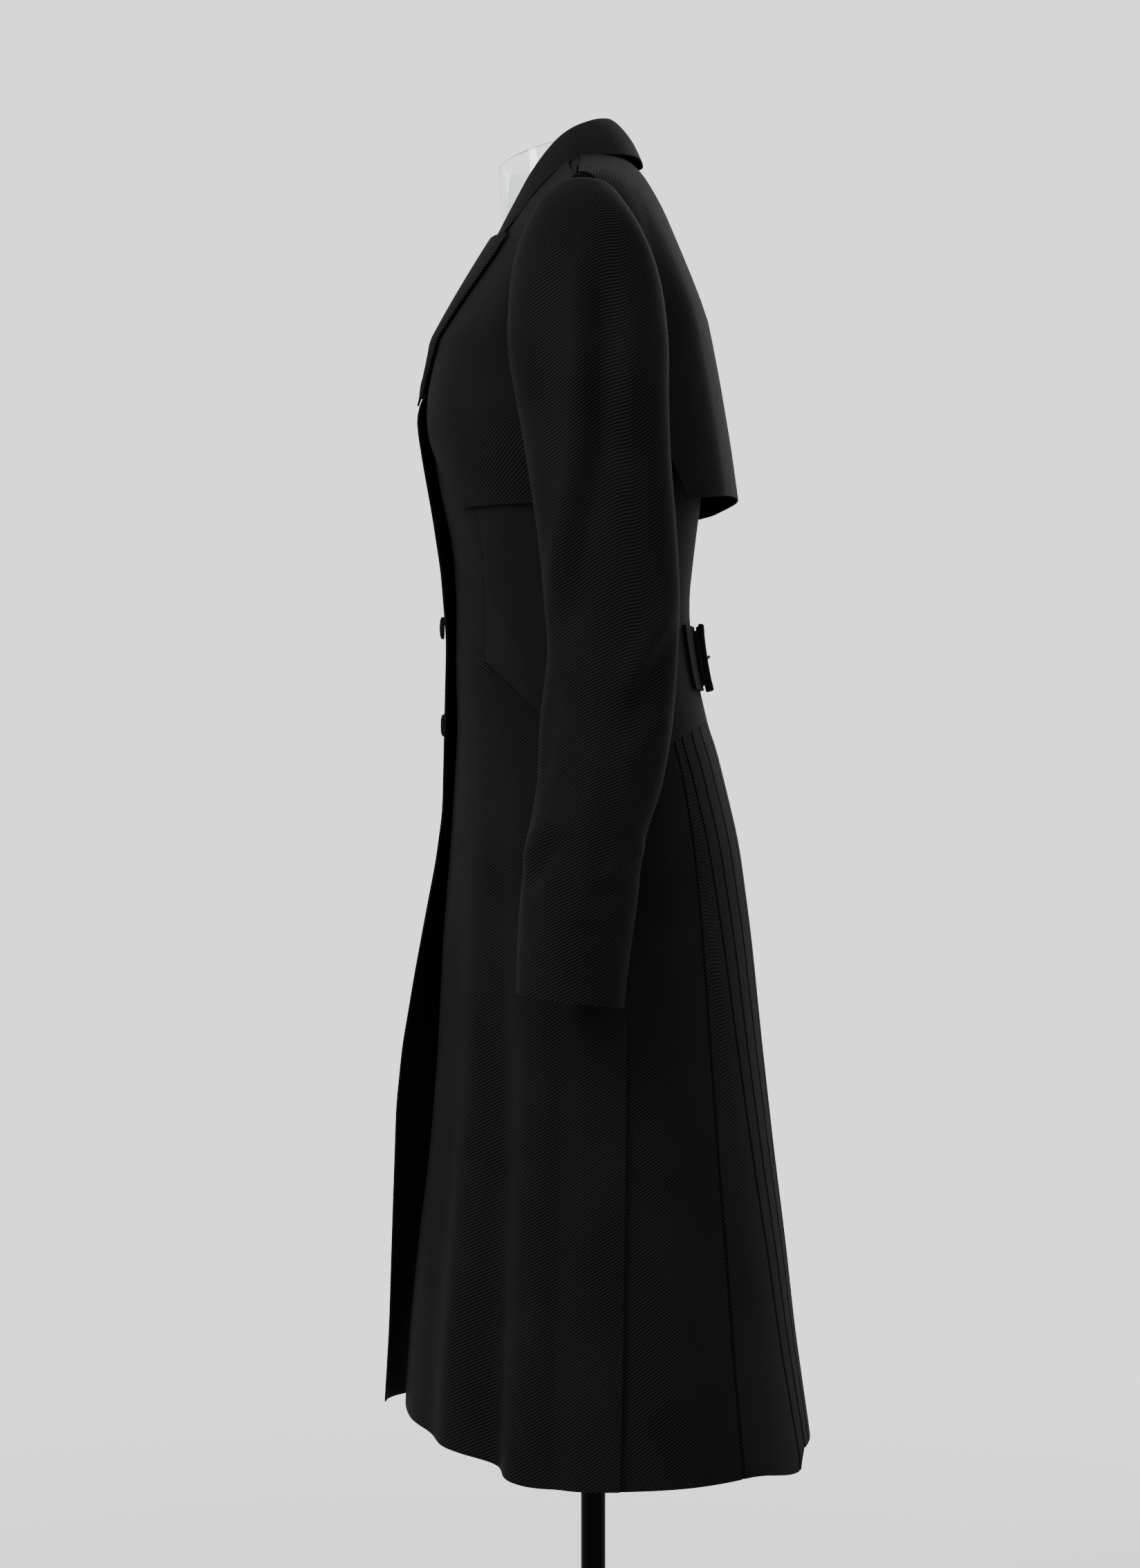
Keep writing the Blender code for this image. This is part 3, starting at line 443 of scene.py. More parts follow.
BODICE_COLUMNS = 31
SKIRT_ROWS = 87
POCKET_ROWS = 6
POCKET_FACING = 0.014
POCKET_SINK = 0.0036
for side in ("left", "right"):
    columns = []
    for part in spread(0, 1, BODICE_COLUMNS) + spread(1, 2, 45)[1:]:
        turn = PRINCESS * part if part <= 1 else front_turn(part, 0.9)
        line = pocket_line(max(turn, PRINCESS)) - SEAM * 2
        line -= POCKET_GAPE * ease((turn - PRINCESS) / 8)
        top_turn = max(0.0, front_turn(min(part, 1.0), SHOULDER_Z + 0.01))
        rows = spread(front_hem(turn), line, SKIRT_ROWS - POCKET_ROWS)
        inside = POCKET_FACING * ease((turn - PRINCESS - 1.0) / 8)
        rows += spread(line, line + inside, POCKET_ROWS + 1)[1:]
        rows += spread(POCKET_Z + SEAM, UNDERARM_Z - 0.002, 33)[1:]
        rows += spread(UNDERARM_Z - 0.002, CHEST_Z, 8)[1:]
        rows += shoulder_rows(top_turn, FRONT_FULL)
        column = []
        for z in rows:
            at = front_turn(part, z)
            lift = flute(at, z, RIGHT_FLUTE_SHIFT if side == "right" else 0.0)
            if turn > PRINCESS:
                sunk = ease((z - line + 0.004) / 0.006) * ease((turn - PRINCESS) / 6)
                lift -= POCKET_SINK * sunk
            if side == "right":
                lift += lap_lift(-skin(at, z).x, z)
            column.append((at, z, lift))
        columns.append(column)
    body_cloth("coat_front_" + side, "front_" + side, columns, mirror=side == "right",
               keep=lambda i, j: i < BODICE_COLUMNS - 1 or j < SKIRT_ROWS - 1)

# The side piece closes the bodice between the princess seam and the side seam, and is sewn
# along both. It is the same twill cut across. Its lower edge runs down over the pocket mouth.
across_twill = twill("black wool twill, cut across", "#010101", "#111112", -62)
for side in ("left", "right"):
    columns = []
    for part in spread(0, 1, 31):
        column = []
        low = pocket_line(PRINCESS + (SIDE_SEAM - PRINCESS) * part) + SEAM
        for z in spread(low, UNDERARM_Z - 0.002, 41):
            start = princess(z) + seam_turn(z)
            end = SIDE_SEAM - seam_turn(z)
            column.append((start + (end - start) * part, z, 0.0))
        columns.append(column)
    body_cloth("coat_side_" + side, "side_" + side, columns, across_twill,
               mirror=side == "right")

# The back bodice is two pieces of the twill, seamed at centre back, from the hip yoke to the
# shoulders. The yoke under it is cut across the cloth, so its rib runs the other way.
CENTRE_GAP = 0.00002
BACK_END = 180.0 - degrees(CENTRE_GAP / 0.13)
# the neck seam at the back: turn, and the share of the depth that is left there
NECK_SEAM = ((158, 0.0), (160, 0.05), (163, 0.22), (166, 0.33), (171, 0.43), (180, 0.46))

for side in ("left", "right"):
    columns = []
    for part in spread(0, 1, 41):
        turn = SIDE_SEAM + 0.2 + (BACK_END - SIDE_SEAM - 0.2) * part
        neckline = float(np.interp(turn, *zip(*NECK_SEAM)))
        rows = spread(YOKE_TOP_Z + SEAM, CHEST_Z, 37) + shoulder_rows(turn, BACK_FULL, neckline)
        columns.append([(turn, z, 0.0) for z in rows])
    body_cloth("coat_back_" + side, "back_" + side, columns, mirror=side == "right")
    columns = []
    for part in spread(0, 1, 41):
        turn = SIDE_SEAM + 0.2 + (BACK_END - SIDE_SEAM - 0.2) * part
        columns.append([(turn, z, 0.0) for z in spread(yoke_low(turn), YOKE_TOP_Z, 19)])
    body_cloth("hip_yoke_piece_" + side, "hip_yoke_" + side, columns, across_twill,
               mirror=side == "right")

# The storm flaps are a second layer of the twill over each side of the chest. They are sewn in
# at the shoulder and the armhole, and open along the lower edge.
FLAP_Z = 1.080
FLAP_LIFT = 0.0046
for side in ("left", "right"):
    columns = []
    for part in spread(0, 1, 37):
        column = []
        rows = spread(FLAP_Z, CHEST_Z, 31) + shoulder_rows(34 + 54 * part, FRONT_FULL)
        ridge = rows[-1]
        for z in rows:
            start = 32 - 20 * ease((z - FLAP_Z) / 0.07)
            start = max(start, turn_at(neck_opening(z), z) + 4 + 6 * ease((z - BREAK_Z) / 0.1))
            turn = start + (80.0 + 6.0 * ease((z - 1.30) / 0.03) - start) * part
            lap = lap_lift(-skin(turn, z).x, z) if side == "right" else 0.0
            sewn = (FLAP_LIFT - CLOTH - 0.0008) * ease((turn - 70) / 10) * ease((z - 1.15) / 0.04)
            sewn = max(sewn, 0.0018 * ease((z - ridge + 0.035) / 0.030))
            column.append((turn, z, FLAP_LIFT - sewn + lap))
        columns.append(column)
    body_cloth("storm_flap_piece_" + side, "storm_flap_" + side, columns,
               mirror=side == "right")

# The lapels are the upper corners of the fronts, faced with the same twill. They turn back from
# the break and stand a little off the chest.
NOTCH_Z = 1.299
LAPEL_WIDE = 0.068
LAPEL_START = 0.016
for side in ("left", "right"):
    columns = []
    for part in spread(0, 1, 21):
        column = []
        for z in spread(BREAK_Z + LAPEL_START, NOTCH_Z, 49):
            rise = (z - BREAK_Z) / (NOTCH_Z - BREAK_Z)
            across = (0.004 + (LAPEL_WIDE - 0.004) * ease(rise * 1.1)) * part
            x = neck_opening(z) + 0.0005 + across
            clear = 0.0026 * (1 - ease((z - 1.2) / 0.03)) * ease((z - BREAK_Z - 0.018) / 0.02)
            lap = lap_lift(-x, z) + clear if side == "right" else 0.0
            roll = 0.0062 * ease(across / 0.010) + 0.003 * sin(pi * part)
            full = ease((z - BREAK_Z) / (0.06 if side == "right" else 0.02))
            lift = CLOTH + SEAM + roll * full
            column.append((turn_at(x, z), z, lift + lap))
        columns.append(column)
    body_cloth("lapel_piece_" + side, "lapel_" + side, columns, mirror=side == "right")

# The storm cape is one piece of the twill, sewn in at the neck, the shoulders and the armholes.
# It hangs loose over the shoulder blades and stands off the back at its hem.
CAPE = (
    (1.085, 0.1245), (1.138, 0.1170), (1.191, 0.1080), (1.238, 0.0990), (1.285, 0.0860),
    (1.312, 0.0770), (1.344, 0.0600), (1.367, 0.0460),
)
CAPE_CURVE = curve_of(CAPE, 1, 0.010)
CAPE_LIFT = 0.0042


def moved(grid, distance, ring=False):
    """The grid[column][row] moved along its own normals."""
    points = np.array([[tuple(p) for p in line] for line in grid])
    if ring:
        along = np.roll(points, -1, 0) - np.roll(points, 1, 0)
    else:
        along = np.gradient(points, axis=0)
    up = np.gradient(points, axis=1)
    normal = np.cross(along, up)
    normal /= np.linalg.norm(normal, axis=2, keepdims=True) + 1e-12
    shifted = points + normal * distance
    return [[Vector(p) for p in line] for line in shifted]


def cape_half(z):
    low = min(0.152, side_limit(z) - 0.004)
    return low + (side_limit(z) - 0.004 - low) * ease((z - 1.2) / 0.08)


def cape_point(across, z):
    x = across * cape_half(z)
    sewn = CAPE_LIFT - 0.0014 * ease((z - 1.325) / 0.03)
    sewn -= 0.0009 * ease((abs(across) - 0.80) / 0.18) * ease((z - 1.25) / 0.05)
    place = layer(180 - degrees(asin(x / side_limit(z))), z, sewn)
    loose = smooth(CAPE_CURVE, z) - 1.45 * x * x - 11.0 * max(0.0, abs(x) - 0.100) ** 2
    place.y += max(loose - place.y, 0.0) * ease((1.345 - z) / 0.11)
    return place


outer = []
for across in spread(1, -1, 81):
    ridge = shoulder_height(abs(across) * 0.18)
    turn = 180 - degrees(asin(abs(across) * cape_half(ridge) / side_limit(ridge)))
    hem = 1.091 - 0.008 * abs(across) ** 3
    rows = spread(hem, CHEST_Z, 41)
    rows += shoulder_rows(turn, BACK_FULL, float(np.interp(turn, *zip(*NECK_SEAM))))
    column = [cape_point(across, z) for z in rows]
    tucked = 0.0002 + 0.0078 * ease((0.30 - abs(across)) / 0.12)
    column.append(column[-1] + (column[-1] - column[-3]).normalized() * tucked)
    outer.append(column)
cloth("storm_cape_piece", "storm_cape", outer, moved(outer, -CLOTH))

# The collar is twill cut in one with its stand, which is sewn to the neck. It turns over a soft
# fold, and its ends meet the lapels at the notch.
COLLAR_DROP = 0.0013
# a row per section from centre back: the fold, the fall's edge and the foot of the stand
COLLAR = (
    ((0.000, 0.0160, 1.4140), (0.000, 0.0413, 1.3770), (0.000, 0.0290, 1.3800)),
    ((0.026, 0.0120, 1.4130), (0.034, 0.0370, 1.3790), (0.030, 0.0250, 1.3810)),
    ((0.048, 0.0000, 1.4080), (0.072, 0.0230, 1.3750), (0.054, 0.0080, 1.3830)),
    ((0.060, -0.0178, 1.3990), (0.091, -0.0040, 1.3700), (0.064, -0.0140, 1.3830)),
    ((0.064, -0.0330, 1.3860), (0.096, -0.0260, 1.3610), (0.067, -0.0300, 1.3720)),
    ((0.067, -0.0507, 1.3620), (0.097, -0.0450, 1.3430), (0.068, -0.0470, 1.3520)),
    ((0.069, -0.0660, 1.3340), (0.097, -0.0600, 1.3230), (0.069, -0.0620, 1.3300)),
    ((0.070, -0.0810, 1.3050), (0.096, -0.0745, 1.3050), (0.071, -0.0770, 1.3030)),
)


def between(rows, part):
    """A point on the smooth line through the rows, where part runs from 0 to 1."""
    place = part * (len(rows) - 1)
    k = min(int(place), len(rows) - 2)
    t = place - k
    before = rows[max(k - 1, 0)]
    after = rows[min(k + 2, len(rows) - 1)]
    one, two = rows[k], rows[k + 1]
    slope_one = (two - before) / 2
    slope_two = (after - one) / 2
    return (one * (2 * t ** 3 - 3 * t ** 2 + 1) + slope_one * (t ** 3 - 2 * t ** 2 + t)
            + two * (3 * t ** 2 - 2 * t ** 3) + slope_two * (t ** 3 - t ** 2))


def collar_line(column):
    half = [Vector(row[column]) - Vector((0, 0, COLLAR_DROP)) for row in COLLAR]
    return [Vector((-p.x, p.y, p.z)) for p in reversed(half[1:])] + half


fold, edge, foot = (collar_line(column) for column in range(3))
outer = []
for part in spread(0, 1, 121):
    top, low, inside = (between(line, part) for line in (fold, edge, foot))
    away = low - inside
    away.z = 0
    away.normalize()
    shoulder = top + (low - top) * 0.16 + away * 0.0035
    middle = top + (low - top) * 0.55 + away * 0.0040
    under = top + (inside - top) * 0.25 - away * 0.0012
    profile = [low, middle, shoulder, top - away * 0.0005, under, inside]
    outer.append([between(profile, step) for step in spread(0, 1, 26)])
cloth("collar_piece", "collar", outer, moved(outer, -CLOTH))

# Each sleeve is a two-piece tailored tube of the twill, set into the armhole with a full head.
# It is bent at the elbow, lightly creased, and open at the cuff.
SLEEVE_COLUMNS = 72
FRONT_SEAM = 51
BACK_SEAM = 24
CUFF_SLANT = 0.0060
SLEEVE_HEAD = 0.0065
SET_IN = 0.0060
RIGHT_CREASE_SHIFT = 0.012
# a row per ring: its outer end (height, distance from the centre), its inner end, front, rear
SLEEVE = (
    (1.3345, 0.1843, 1.1825, 0.1611, -0.0560, 0.0340),
    (1.3310, 0.2020, 1.1690, 0.1670, -0.0650, 0.0450),
    (1.3020, 0.2300, 1.1580, 0.1690, -0.0690, 0.0545),
    (1.2450, 0.2520, 1.1460, 0.1700, -0.0690, 0.0585),
    (1.1850, 0.2600, 1.1300, 0.1705, -0.0630, 0.0585),
    (1.1180, 0.2580, 1.1000, 0.1700, -0.0548, 0.0603),
    (1.0600, 0.2540, 1.0500, 0.1680, -0.0467, 0.0646),
    (1.0040, 0.2510, 1.0000, 0.1660, -0.0407, 0.0673),
    (0.9600, 0.2510, 0.9580, 0.1670, -0.0375, 0.0662),
    (0.9000, 0.2560, 0.8980, 0.1720, -0.0440, 0.0617),
    (0.8500, 0.2600, 0.8480, 0.1790, -0.0463, 0.0530),
    (0.8050, 0.2640, 0.8030, 0.1860, -0.0538, 0.0390),
    (0.7600, 0.2680, 0.7590, 0.1920, -0.0592, 0.0337),
    (0.7150, 0.2720, 0.7150, 0.1990, -0.0615, 0.0270),
    (0.6800, 0.2750, 0.6800, 0.2040, -0.0620, 0.0225),
)
# a row per crease on the outer face: its two ends (depth, height), half its breadth, rise
CREASES = (
    (-0.0125, 1.265, -0.0145, 1.080, 0.011, 0.00630),
    (0.0080, 1.250, 0.0060, 1.090, 0.013, -0.00540),
    (-0.0163, 1.110, -0.0357, 0.965, 0.010, 0.00540),
    (-0.0020, 1.080, -0.0170, 0.985, 0.012, -0.00468),
    (-0.0379, 0.822, -0.0589, 0.786, 0.008, 0.00432),
    (-0.0300, 0.805, -0.0540, 0.765, 0.007, -0.00396),
    (0.0400, 0.803, 0.0090, 0.774, 0.008, 0.00432),
    (0.0330, 0.785, 0.0010, 0.760, 0.008, -0.00360),
    (-0.0411, 0.777, -0.0150, 0.740, 0.009, 0.00324),
    (0.0560, 0.985, 0.0250, 0.930, 0.009, 0.00468),
    (0.0600, 0.960, 0.0300, 0.905, 0.009, -0.00468),
    (0.0560, 0.900, 0.0200, 0.862, 0.009, 0.00396),
    (0.0330, 1.215, 0.0210, 1.120, 0.012, 0.00396),
    (-0.0480, 1.235, -0.0390, 1.130, 0.010, -0.00432),
    (-0.0330, 0.930, -0.0440, 0.850, 0.010, -0.00360),
    (-0.0200, 0.700, 0.0020, 0.880, 0.012, 0.00252),
)


def crease_lift(y, z, shift):
    """Rise or fall of the sleeve's face at a place, from the creases that pass near it."""
    rise = 0.0
    for y0, z0, y1, z1, wide, height in CREASES:
        run = Vector((y1 - y0, z1 - z0))
        gone = Vector((y - y0, z - z0 - shift))
        along = min(1.2, max(-0.2, gone.dot(run) / run.length_squared))
        off = (gone - run * along).length / wide
        fade = ease((along + 0.2) / 0.4) * ease((1.2 - along) / 0.4)
        rise += height * exp(-off * off) * fade
    return rise


rings = []
ring_rows = [np.array(row) for row in reversed(SLEEVE)]
for part in spread(0, 1, 169):
    row = between(ring_rows, part)
    top = Vector((row[1], (row[4] + row[5]) / 2, row[0]))
    low = Vector((row[3], (row[4] + row[5]) / 2, row[2]))
    wide = (row[5] - row[4]) / 2
    ring = []
    for n in range(SLEEVE_COLUMNS):
        turn = 2 * pi * n / SLEEVE_COLUMNS
        point = (top + low) / 2 + (top - low) / 2 * cos(turn) + Vector((0, wide * sin(turn), 0))
        point.z -= CUFF_SLANT * sin(turn) * (1 - ease((point.z - 0.66) / 0.10))
        shoulder = exp(-((degrees(min(turn, 2 * pi - turn)) - 33) / 20) ** 2)
        point.z += SLEEVE_HEAD * shoulder * ease((part - 0.93) / 0.06)
        point.x -= SET_IN * ease((abs(sin(turn)) - 0.3) / 0.4) * ease((part - 0.94) / 0.06)
        ring.append(point)
    rings.append(ring)
plain = [[ring[n] for ring in rings] for n in range(SLEEVE_COLUMNS)]
SLEEVE_PIECES = (
    ("top_sleeve_", [*range(FRONT_SEAM, SLEEVE_COLUMNS), *range(0, BACK_SEAM + 1)]),
    ("under_sleeve_", [*range(BACK_SEAM, FRONT_SEAM + 1)]),
)
for side in ("left", "right"):
    outer_way = [[point - under for point, under in zip(*lines)]
                 for lines in zip(moved(plain, 0.001, ring=True), plain)]
    shift = RIGHT_CREASE_SHIFT if side == "right" else 0.0
    grid = []
    for n, (line, way) in enumerate(zip(plain, outer_way)):
        facing = ease(cos(2 * pi * n / SLEEVE_COLUMNS) * 1.6 + 0.2)
        grid.append([point + step.normalized() * facing * crease_lift(point.y, point.z, shift)
                     for point, step in zip(line, way)])
    sleeve_inner = moved(grid, -CLOTH, ring=True)
    for name, picks in SLEEVE_PIECES:
        faces_out = [list(grid[n]) for n in picks]
        faces_in = [list(sleeve_inner[n]) for n in picks]
        for part in (faces_out, faces_in):
            for end, beside in ((0, 1), (-1, -2)):
                for j, point in enumerate(part[end]):
                    part[end][j] = point + (part[beside][j] - point).normalized() * SEAM / 2
        cloth(name + "piece_" + side, name + side, faces_out, faces_in, mirror=side == "right")

# The back of the skirt is twill, knife-pleated and sewn under the hip yoke, six folds to a half.
# They face centre back and meet there over a box.
PLEATS = 6
PLEAT_DEPTH = 5.6
PLEAT_GAP = 0.0005
PLEAT_RISE = 1.2
FOLD_SINK = 0.0055
BOX_FOLD = 180.0 - degrees(0.0012 / 0.13)
# turn of each pleat's fold, at the yoke and at the hem
FOLDS = ((130.0, 128.0), (135.5, 155.0), (143.5, 161.0), (153.0, 167.0), (164.0, 173.0),
         (BOX_FOLD, BOX_FOLD))


def shifted(turns, by):
    return tuple(turn + by for turn in turns)


def under_fold(n):
    """Turns at the yoke and at the hem that pleat n's underlay goes back to."""
    gaps = [PLEAT_DEPTH / 0.45 if n == 0 else FOLDS[n][k] - FOLDS[n - 1][k] for k in (0, 1)]
    return tuple(FOLDS[n][k] - min(PLEAT_DEPTH, 0.45 * gaps[k]) for k in (0, 1))


def pleat_line(first, last):
    """Outer and inner points of the folded layers, as (turns at yoke and hem, lift)."""
    reach = 2 * CLOTH + PLEAT_GAP
    under = -reach - PLEAT_GAP
    edge = degrees(CLOTH / 0.16)
    outer = []
    inner = []
    for n in range(first, last + 1):
        fold = FOLDS[n]
        back = under_fold(n)
        outer += [(fold, 0.0), (fold, -reach), (back, -reach)]
        inner += [(shifted(fold, -edge), -CLOTH), (shifted(fold, -edge), CLOTH - reach),
                  (shifted(back, -edge), CLOTH - reach)]
        if last == 0:
            continue
        outer.append((back, under))
        inner.append((shifted(back, -edge), under - CLOTH))
        if n < PLEATS - 1:
            rise = [(shifted(fold, 0.3), under), (shifted(fold, PLEAT_RISE), 0.0),
                    (shifted(under_fold(n + 1), -0.3), 0.0)]
            outer += rise
            inner += [(turns, lift - CLOTH) for turns, lift in rise]
    return outer, inner


def pleat_cloth(name, node, outer_lines, inner_lines, side):
    """A piece from the skirt's hem to the yoke, along lines of (turns, lift)."""
    outer = []
    inner = []
    for out_line, in_line in zip(outer_lines, inner_lines):
        (yoke_turn, hem_turn), _ = out_line
        rows = spread(back_hem(hem_turn), yoke_low(yoke_turn) - SEAM, 61)
        for grid, (turns, lift) in ((outer, out_line), (inner, in_line)):
            column = []
            for z in rows:
                turn = turns[0] + (turns[1] - turns[0]) * fall(z)
                column.append(layer(turn, z, lift + 0.002 * ease((rows[-1] - z) / 0.03)))
            grid.append(column)
    cloth(name, node, outer, inner, mirror=side == "right")


def filled(lines, most=2.5):
    """The lines with more between them wherever two are far apart and at one lift."""
    full = lines[:1]
    for one, two in zip(lines, lines[1:]):
        wide = max(abs(two[0][k] - one[0][k]) for k in (0, 1))
        count = max(1, int(wide / most)) if abs(two[1] - one[1]) < 0.003 else 1
        for n in range(1, count + 1):
            turns = tuple(one[0][k] + (two[0][k] - one[0][k]) * n / count for k in (0, 1))
            full.append((turns, one[1] + (two[1] - one[1]) * n / count))
    return full


under = -2 * CLOTH - 2 * PLEAT_GAP
for side in ("left", "right"):
    outer = []
    for part in spread(0, 1, 36)[:-1]:
        start = shifted(FOLD_EDGE, -6.0)
        turns = tuple(start[k] + (FOLDS[0][k] - start[k]) * part for k in (0, 1))
        outer.append((turns, -FOLD_SINK * (1 - ease((part - 0.21) / 0.47))))
    inner = [(turns, lift - CLOTH) for turns, lift in outer]
    fold_out, fold_in = pleat_line(0, 0)
    pleat_cloth("skirt_side_back_piece_" + side, "skirt_side_back_" + side,
                outer + fold_out, inner + fold_in, side)
    start = [(under_fold(0), under - PLEAT_GAP), (shifted(FOLDS[0], 0.3), under - PLEAT_GAP),
             (shifted(FOLDS[0], PLEAT_RISE), 0.0), (shifted(under_fold(1), -0.3), 0.0)]
    fold_out, fold_in = pleat_line(1, PLEATS - 1)
    start = filled(start + fold_out[:1])[:-1]
    end = [((BACK_END, BACK_END), under - 0.0010)]
    inner = [(turns, lift - CLOTH) for turns, lift in start] + fold_in
    inner += [(turns, lift - CLOTH) for turns, lift in end]
    pleat_cloth("pleated_back_piece_" + side, "pleated_back_" + side,
                start + fold_out + end, inner, side)

# The half belt lies across centre back: two straps of doubled twill, and a tip that passes
# through the buckle and lies on the right strap.
BELT = (0.929, 0.983)
STRAP = 0.0030


def back_turn(x, z):
    return 180 - degrees(asin(x / side_limit(z)))


def strap(name, node, first, last, low, high, lift, thick, under):
    columns = [[(back_turn(x, z), z, lift) for z in spread(low, high, 13)]
               for x in spread(first, last, 31)]
    body_cloth(name, node, columns, across_twill, thick=thick)


strap("belt_strap_right", "belt_right", 0.012, -0.058, *BELT, STRAP + SEAM, STRAP,
      ("hip_yoke_piece_left", "hip_yoke_piece_right"))
strap("belt_strap_left", "belt_left", 0.058, 0.0135, *BELT, STRAP + SEAM, STRAP,
      ("hip_yoke_piece_left",))
strap("belt_end", "belt_tip", 0.030, -0.044, BELT[0] + 0.004, BELT[1] - 0.004,
      2 * STRAP + 3 * SEAM, STRAP - SEAM, ("belt_strap_left", "belt_strap_right"))

# The buckle is a flat frame covered in the coat's cloth, with a thin metal prong across it. It
# lies on the straps at centre back.
BUCKLE_HALF = 0.026
BUCKLE_BAR = 0.007
BUCKLE_THICK = 0.0045


def start_part(name):
    """Names the new primitive, alone selected, and opens it in edit mode."""
    part = bpy.context.object
    part.name = name
    part.data.name = name
    bpy.ops.object.mode_set(mode="EDIT")
    bpy.ops.mesh.select_mode(type="FACE")
    return part


def finish_part(part, finish, slot, *nodes):
    """Leaves edit mode with the part's place in its mesh, smooth, on the body."""
    if part.mode == "EDIT":
        bpy.ops.object.mode_set(mode="OBJECT")
    bpy.ops.object.transform_apply()
    part.data.materials.clear()
    part.data.materials.append(finish)
    bpy.ops.object.shade_smooth_by_angle(angle=radians(35))
    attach(part, "root")
    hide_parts(*nodes)


def rounded(part, width, segments=3, angle=40):
    bpy.ops.object.mode_set(mode="OBJECT")
    bevel = part.modifiers.new("rounding", "BEVEL")
    bevel.width = width
    bevel.segments = segments
    bevel.limit_method = "ANGLE"
    bevel.angle_limit = radians(angle)
    bpy.ops.object.modifier_apply(modifier=bevel.name)


def cover_with_weave(part):
    """A UV map in metres, seen square on from each side, for the cloth's rib."""
    bpy.ops.object.mode_set(mode="EDIT")
    bpy.ops.mesh.select_all(action="SELECT")
    bpy.ops.uv.cube_project(cube_size=1.0, correct_aspect=False)
    bpy.ops.object.mode_set(mode="OBJECT")
    part.data.uv_layers[0].name = "weave"


def laid_on_back(part, base):
    """Bends a flat part in the x-z plane onto the back, where its depth becomes its lift."""
    for vertex in part.data.vertices:
        x, y, z = vertex.co
        vertex.co = layer(back_turn(x, z), z, base + y)


bpy.ops.object.select_all(action="DESELECT")
BUCKLE_BASE = 2 * STRAP + 4 * SEAM
belt_middle = sum(BELT) / 2
tall = BELT[1] - BELT[0] + 0.004
bpy.ops.mesh.primitive_grid_add(x_subdivisions=14, y_subdivisions=14, size=1.0,
                                location=(0, 0, belt_middle), rotation=(pi / 2, 0, 0))
bpy.context.object.scale = (2 * BUCKLE_HALF, tall, 1)
bpy.ops.object.transform_apply()
buckle = start_part("buckle_frame")
bpy.ops.mesh.select_all(action="DESELECT")
bpy.ops.object.mode_set(mode="OBJECT")
for face in buckle.data.polygons:
    x, _, z = face.center
    beside = abs(x) < BUCKLE_HALF - BUCKLE_BAR
    face.select = beside and abs(z - belt_middle) < tall / 2 - BUCKLE_BAR
bpy.ops.object.mode_set(mode="EDIT")
bpy.ops.mesh.delete(type="FACE")
bpy.ops.mesh.select_all(action="SELECT")
bpy.ops.mesh.extrude_region_move(TRANSFORM_OT_translate={"value": (0, BUCKLE_THICK, 0)})
bpy.ops.mesh.select_all(action="SELECT")
bpy.ops.mesh.normals_make_consistent(inside=False)
rounded(buckle, 0.0013, 4)
cover_with_weave(buckle)
laid_on_back(buckle, BUCKLE_BASE)
finish_part(buckle, black_twill, "black_twill", "buckle")

# darkened steel: a soft grey gleam, broken by rubbing marks 1 mm across
PRONG_RADIUS = 0.0011
darkened, tree, shader = new_material("darkened steel", Base_Color=linear("#3a3a3c"),
                                      Metallic=0.9, Roughness=0.38)
place = add_node(tree, "ShaderNodeTexCoord")
rub = add_node(tree, "ShaderNodeTexNoise", None, {"Scale": 900.0, "Detail": 2.0},
               {"Vector": (place, "Object")})
bump = add_node(tree, "ShaderNodeBump", None, {"Strength": 0.2, "Distance": 0.0001},
                {"Height": (rub, "Fac")})
tree.links.new(bump.outputs["Normal"], shader.inputs["Normal"])
bpy.ops.object.select_all(action="DESELECT")
bpy.ops.mesh.primitive_cylinder_add(vertices=16, radius=PRONG_RADIUS,
                                    depth=2 * BUCKLE_HALF - 0.006,
                                    location=(0, 0.0010, belt_middle),
                                    rotation=(0, pi / 2, 0))
bpy.ops.object.transform_apply()
prong = start_part("buckle_prong_piece")
bpy.ops.mesh.select_all(action="SELECT")
bpy.ops.mesh.subdivide(number_cuts=5)
rounded(prong, 0.0003, 2, 60)
laid_on_back(prong, BUCKLE_BASE + BUCKLE_THICK + SEAM)
finish_part(prong, darkened, "prong_metal", "buckle_prong")

# Two domed buttons, covered in the coat's cloth and sewn through it, sit near the right front's
# edge at the waist.
BUTTON_RADIUS = 0.0100
BUTTON_THICK = 0.0042
BUTTONS = ((0.983, 0.0006), (0.900, -0.0008))
for number, (z, seat) in enumerate(BUTTONS, 1):
    face = skin(0.0, z).y - lap_lift(BUTTON_RADIUS, z) - seat
    bpy.ops.object.select_all(action="DESELECT")
    bpy.ops.mesh.primitive_cylinder_add(vertices=48, radius=BUTTON_RADIUS - 0.0004,
                                        depth=BUTTON_THICK * 0.55,
                                        location=(0, face - BUTTON_THICK * 0.275, z),
                                        rotation=(pi / 2, 0, 0))
    bpy.ops.object.transform_apply()
    button = start_part(f"covered_button_{number}")
    bpy.ops.mesh.select_all(action="DESELECT")
    bpy.ops.object.mode_set(mode="OBJECT")
    for side_face in button.data.polygons:
        side_face.select = side_face.normal.y < -0.9
    bpy.ops.object.mode_set(mode="EDIT")
    for inset, rise in ((0.0012, 0.0008), (0.0020, 0.0006), (0.0030, 0.0003)):
        bpy.ops.mesh.inset(thickness=inset, depth=0)
        bpy.ops.transform.translate(value=(0, -rise, 0))
    rounded(button, 0.0007, 3)
    cover_with_weave(button)
    finish_part(button, black_twill, "black_twill", f"button_{number}")

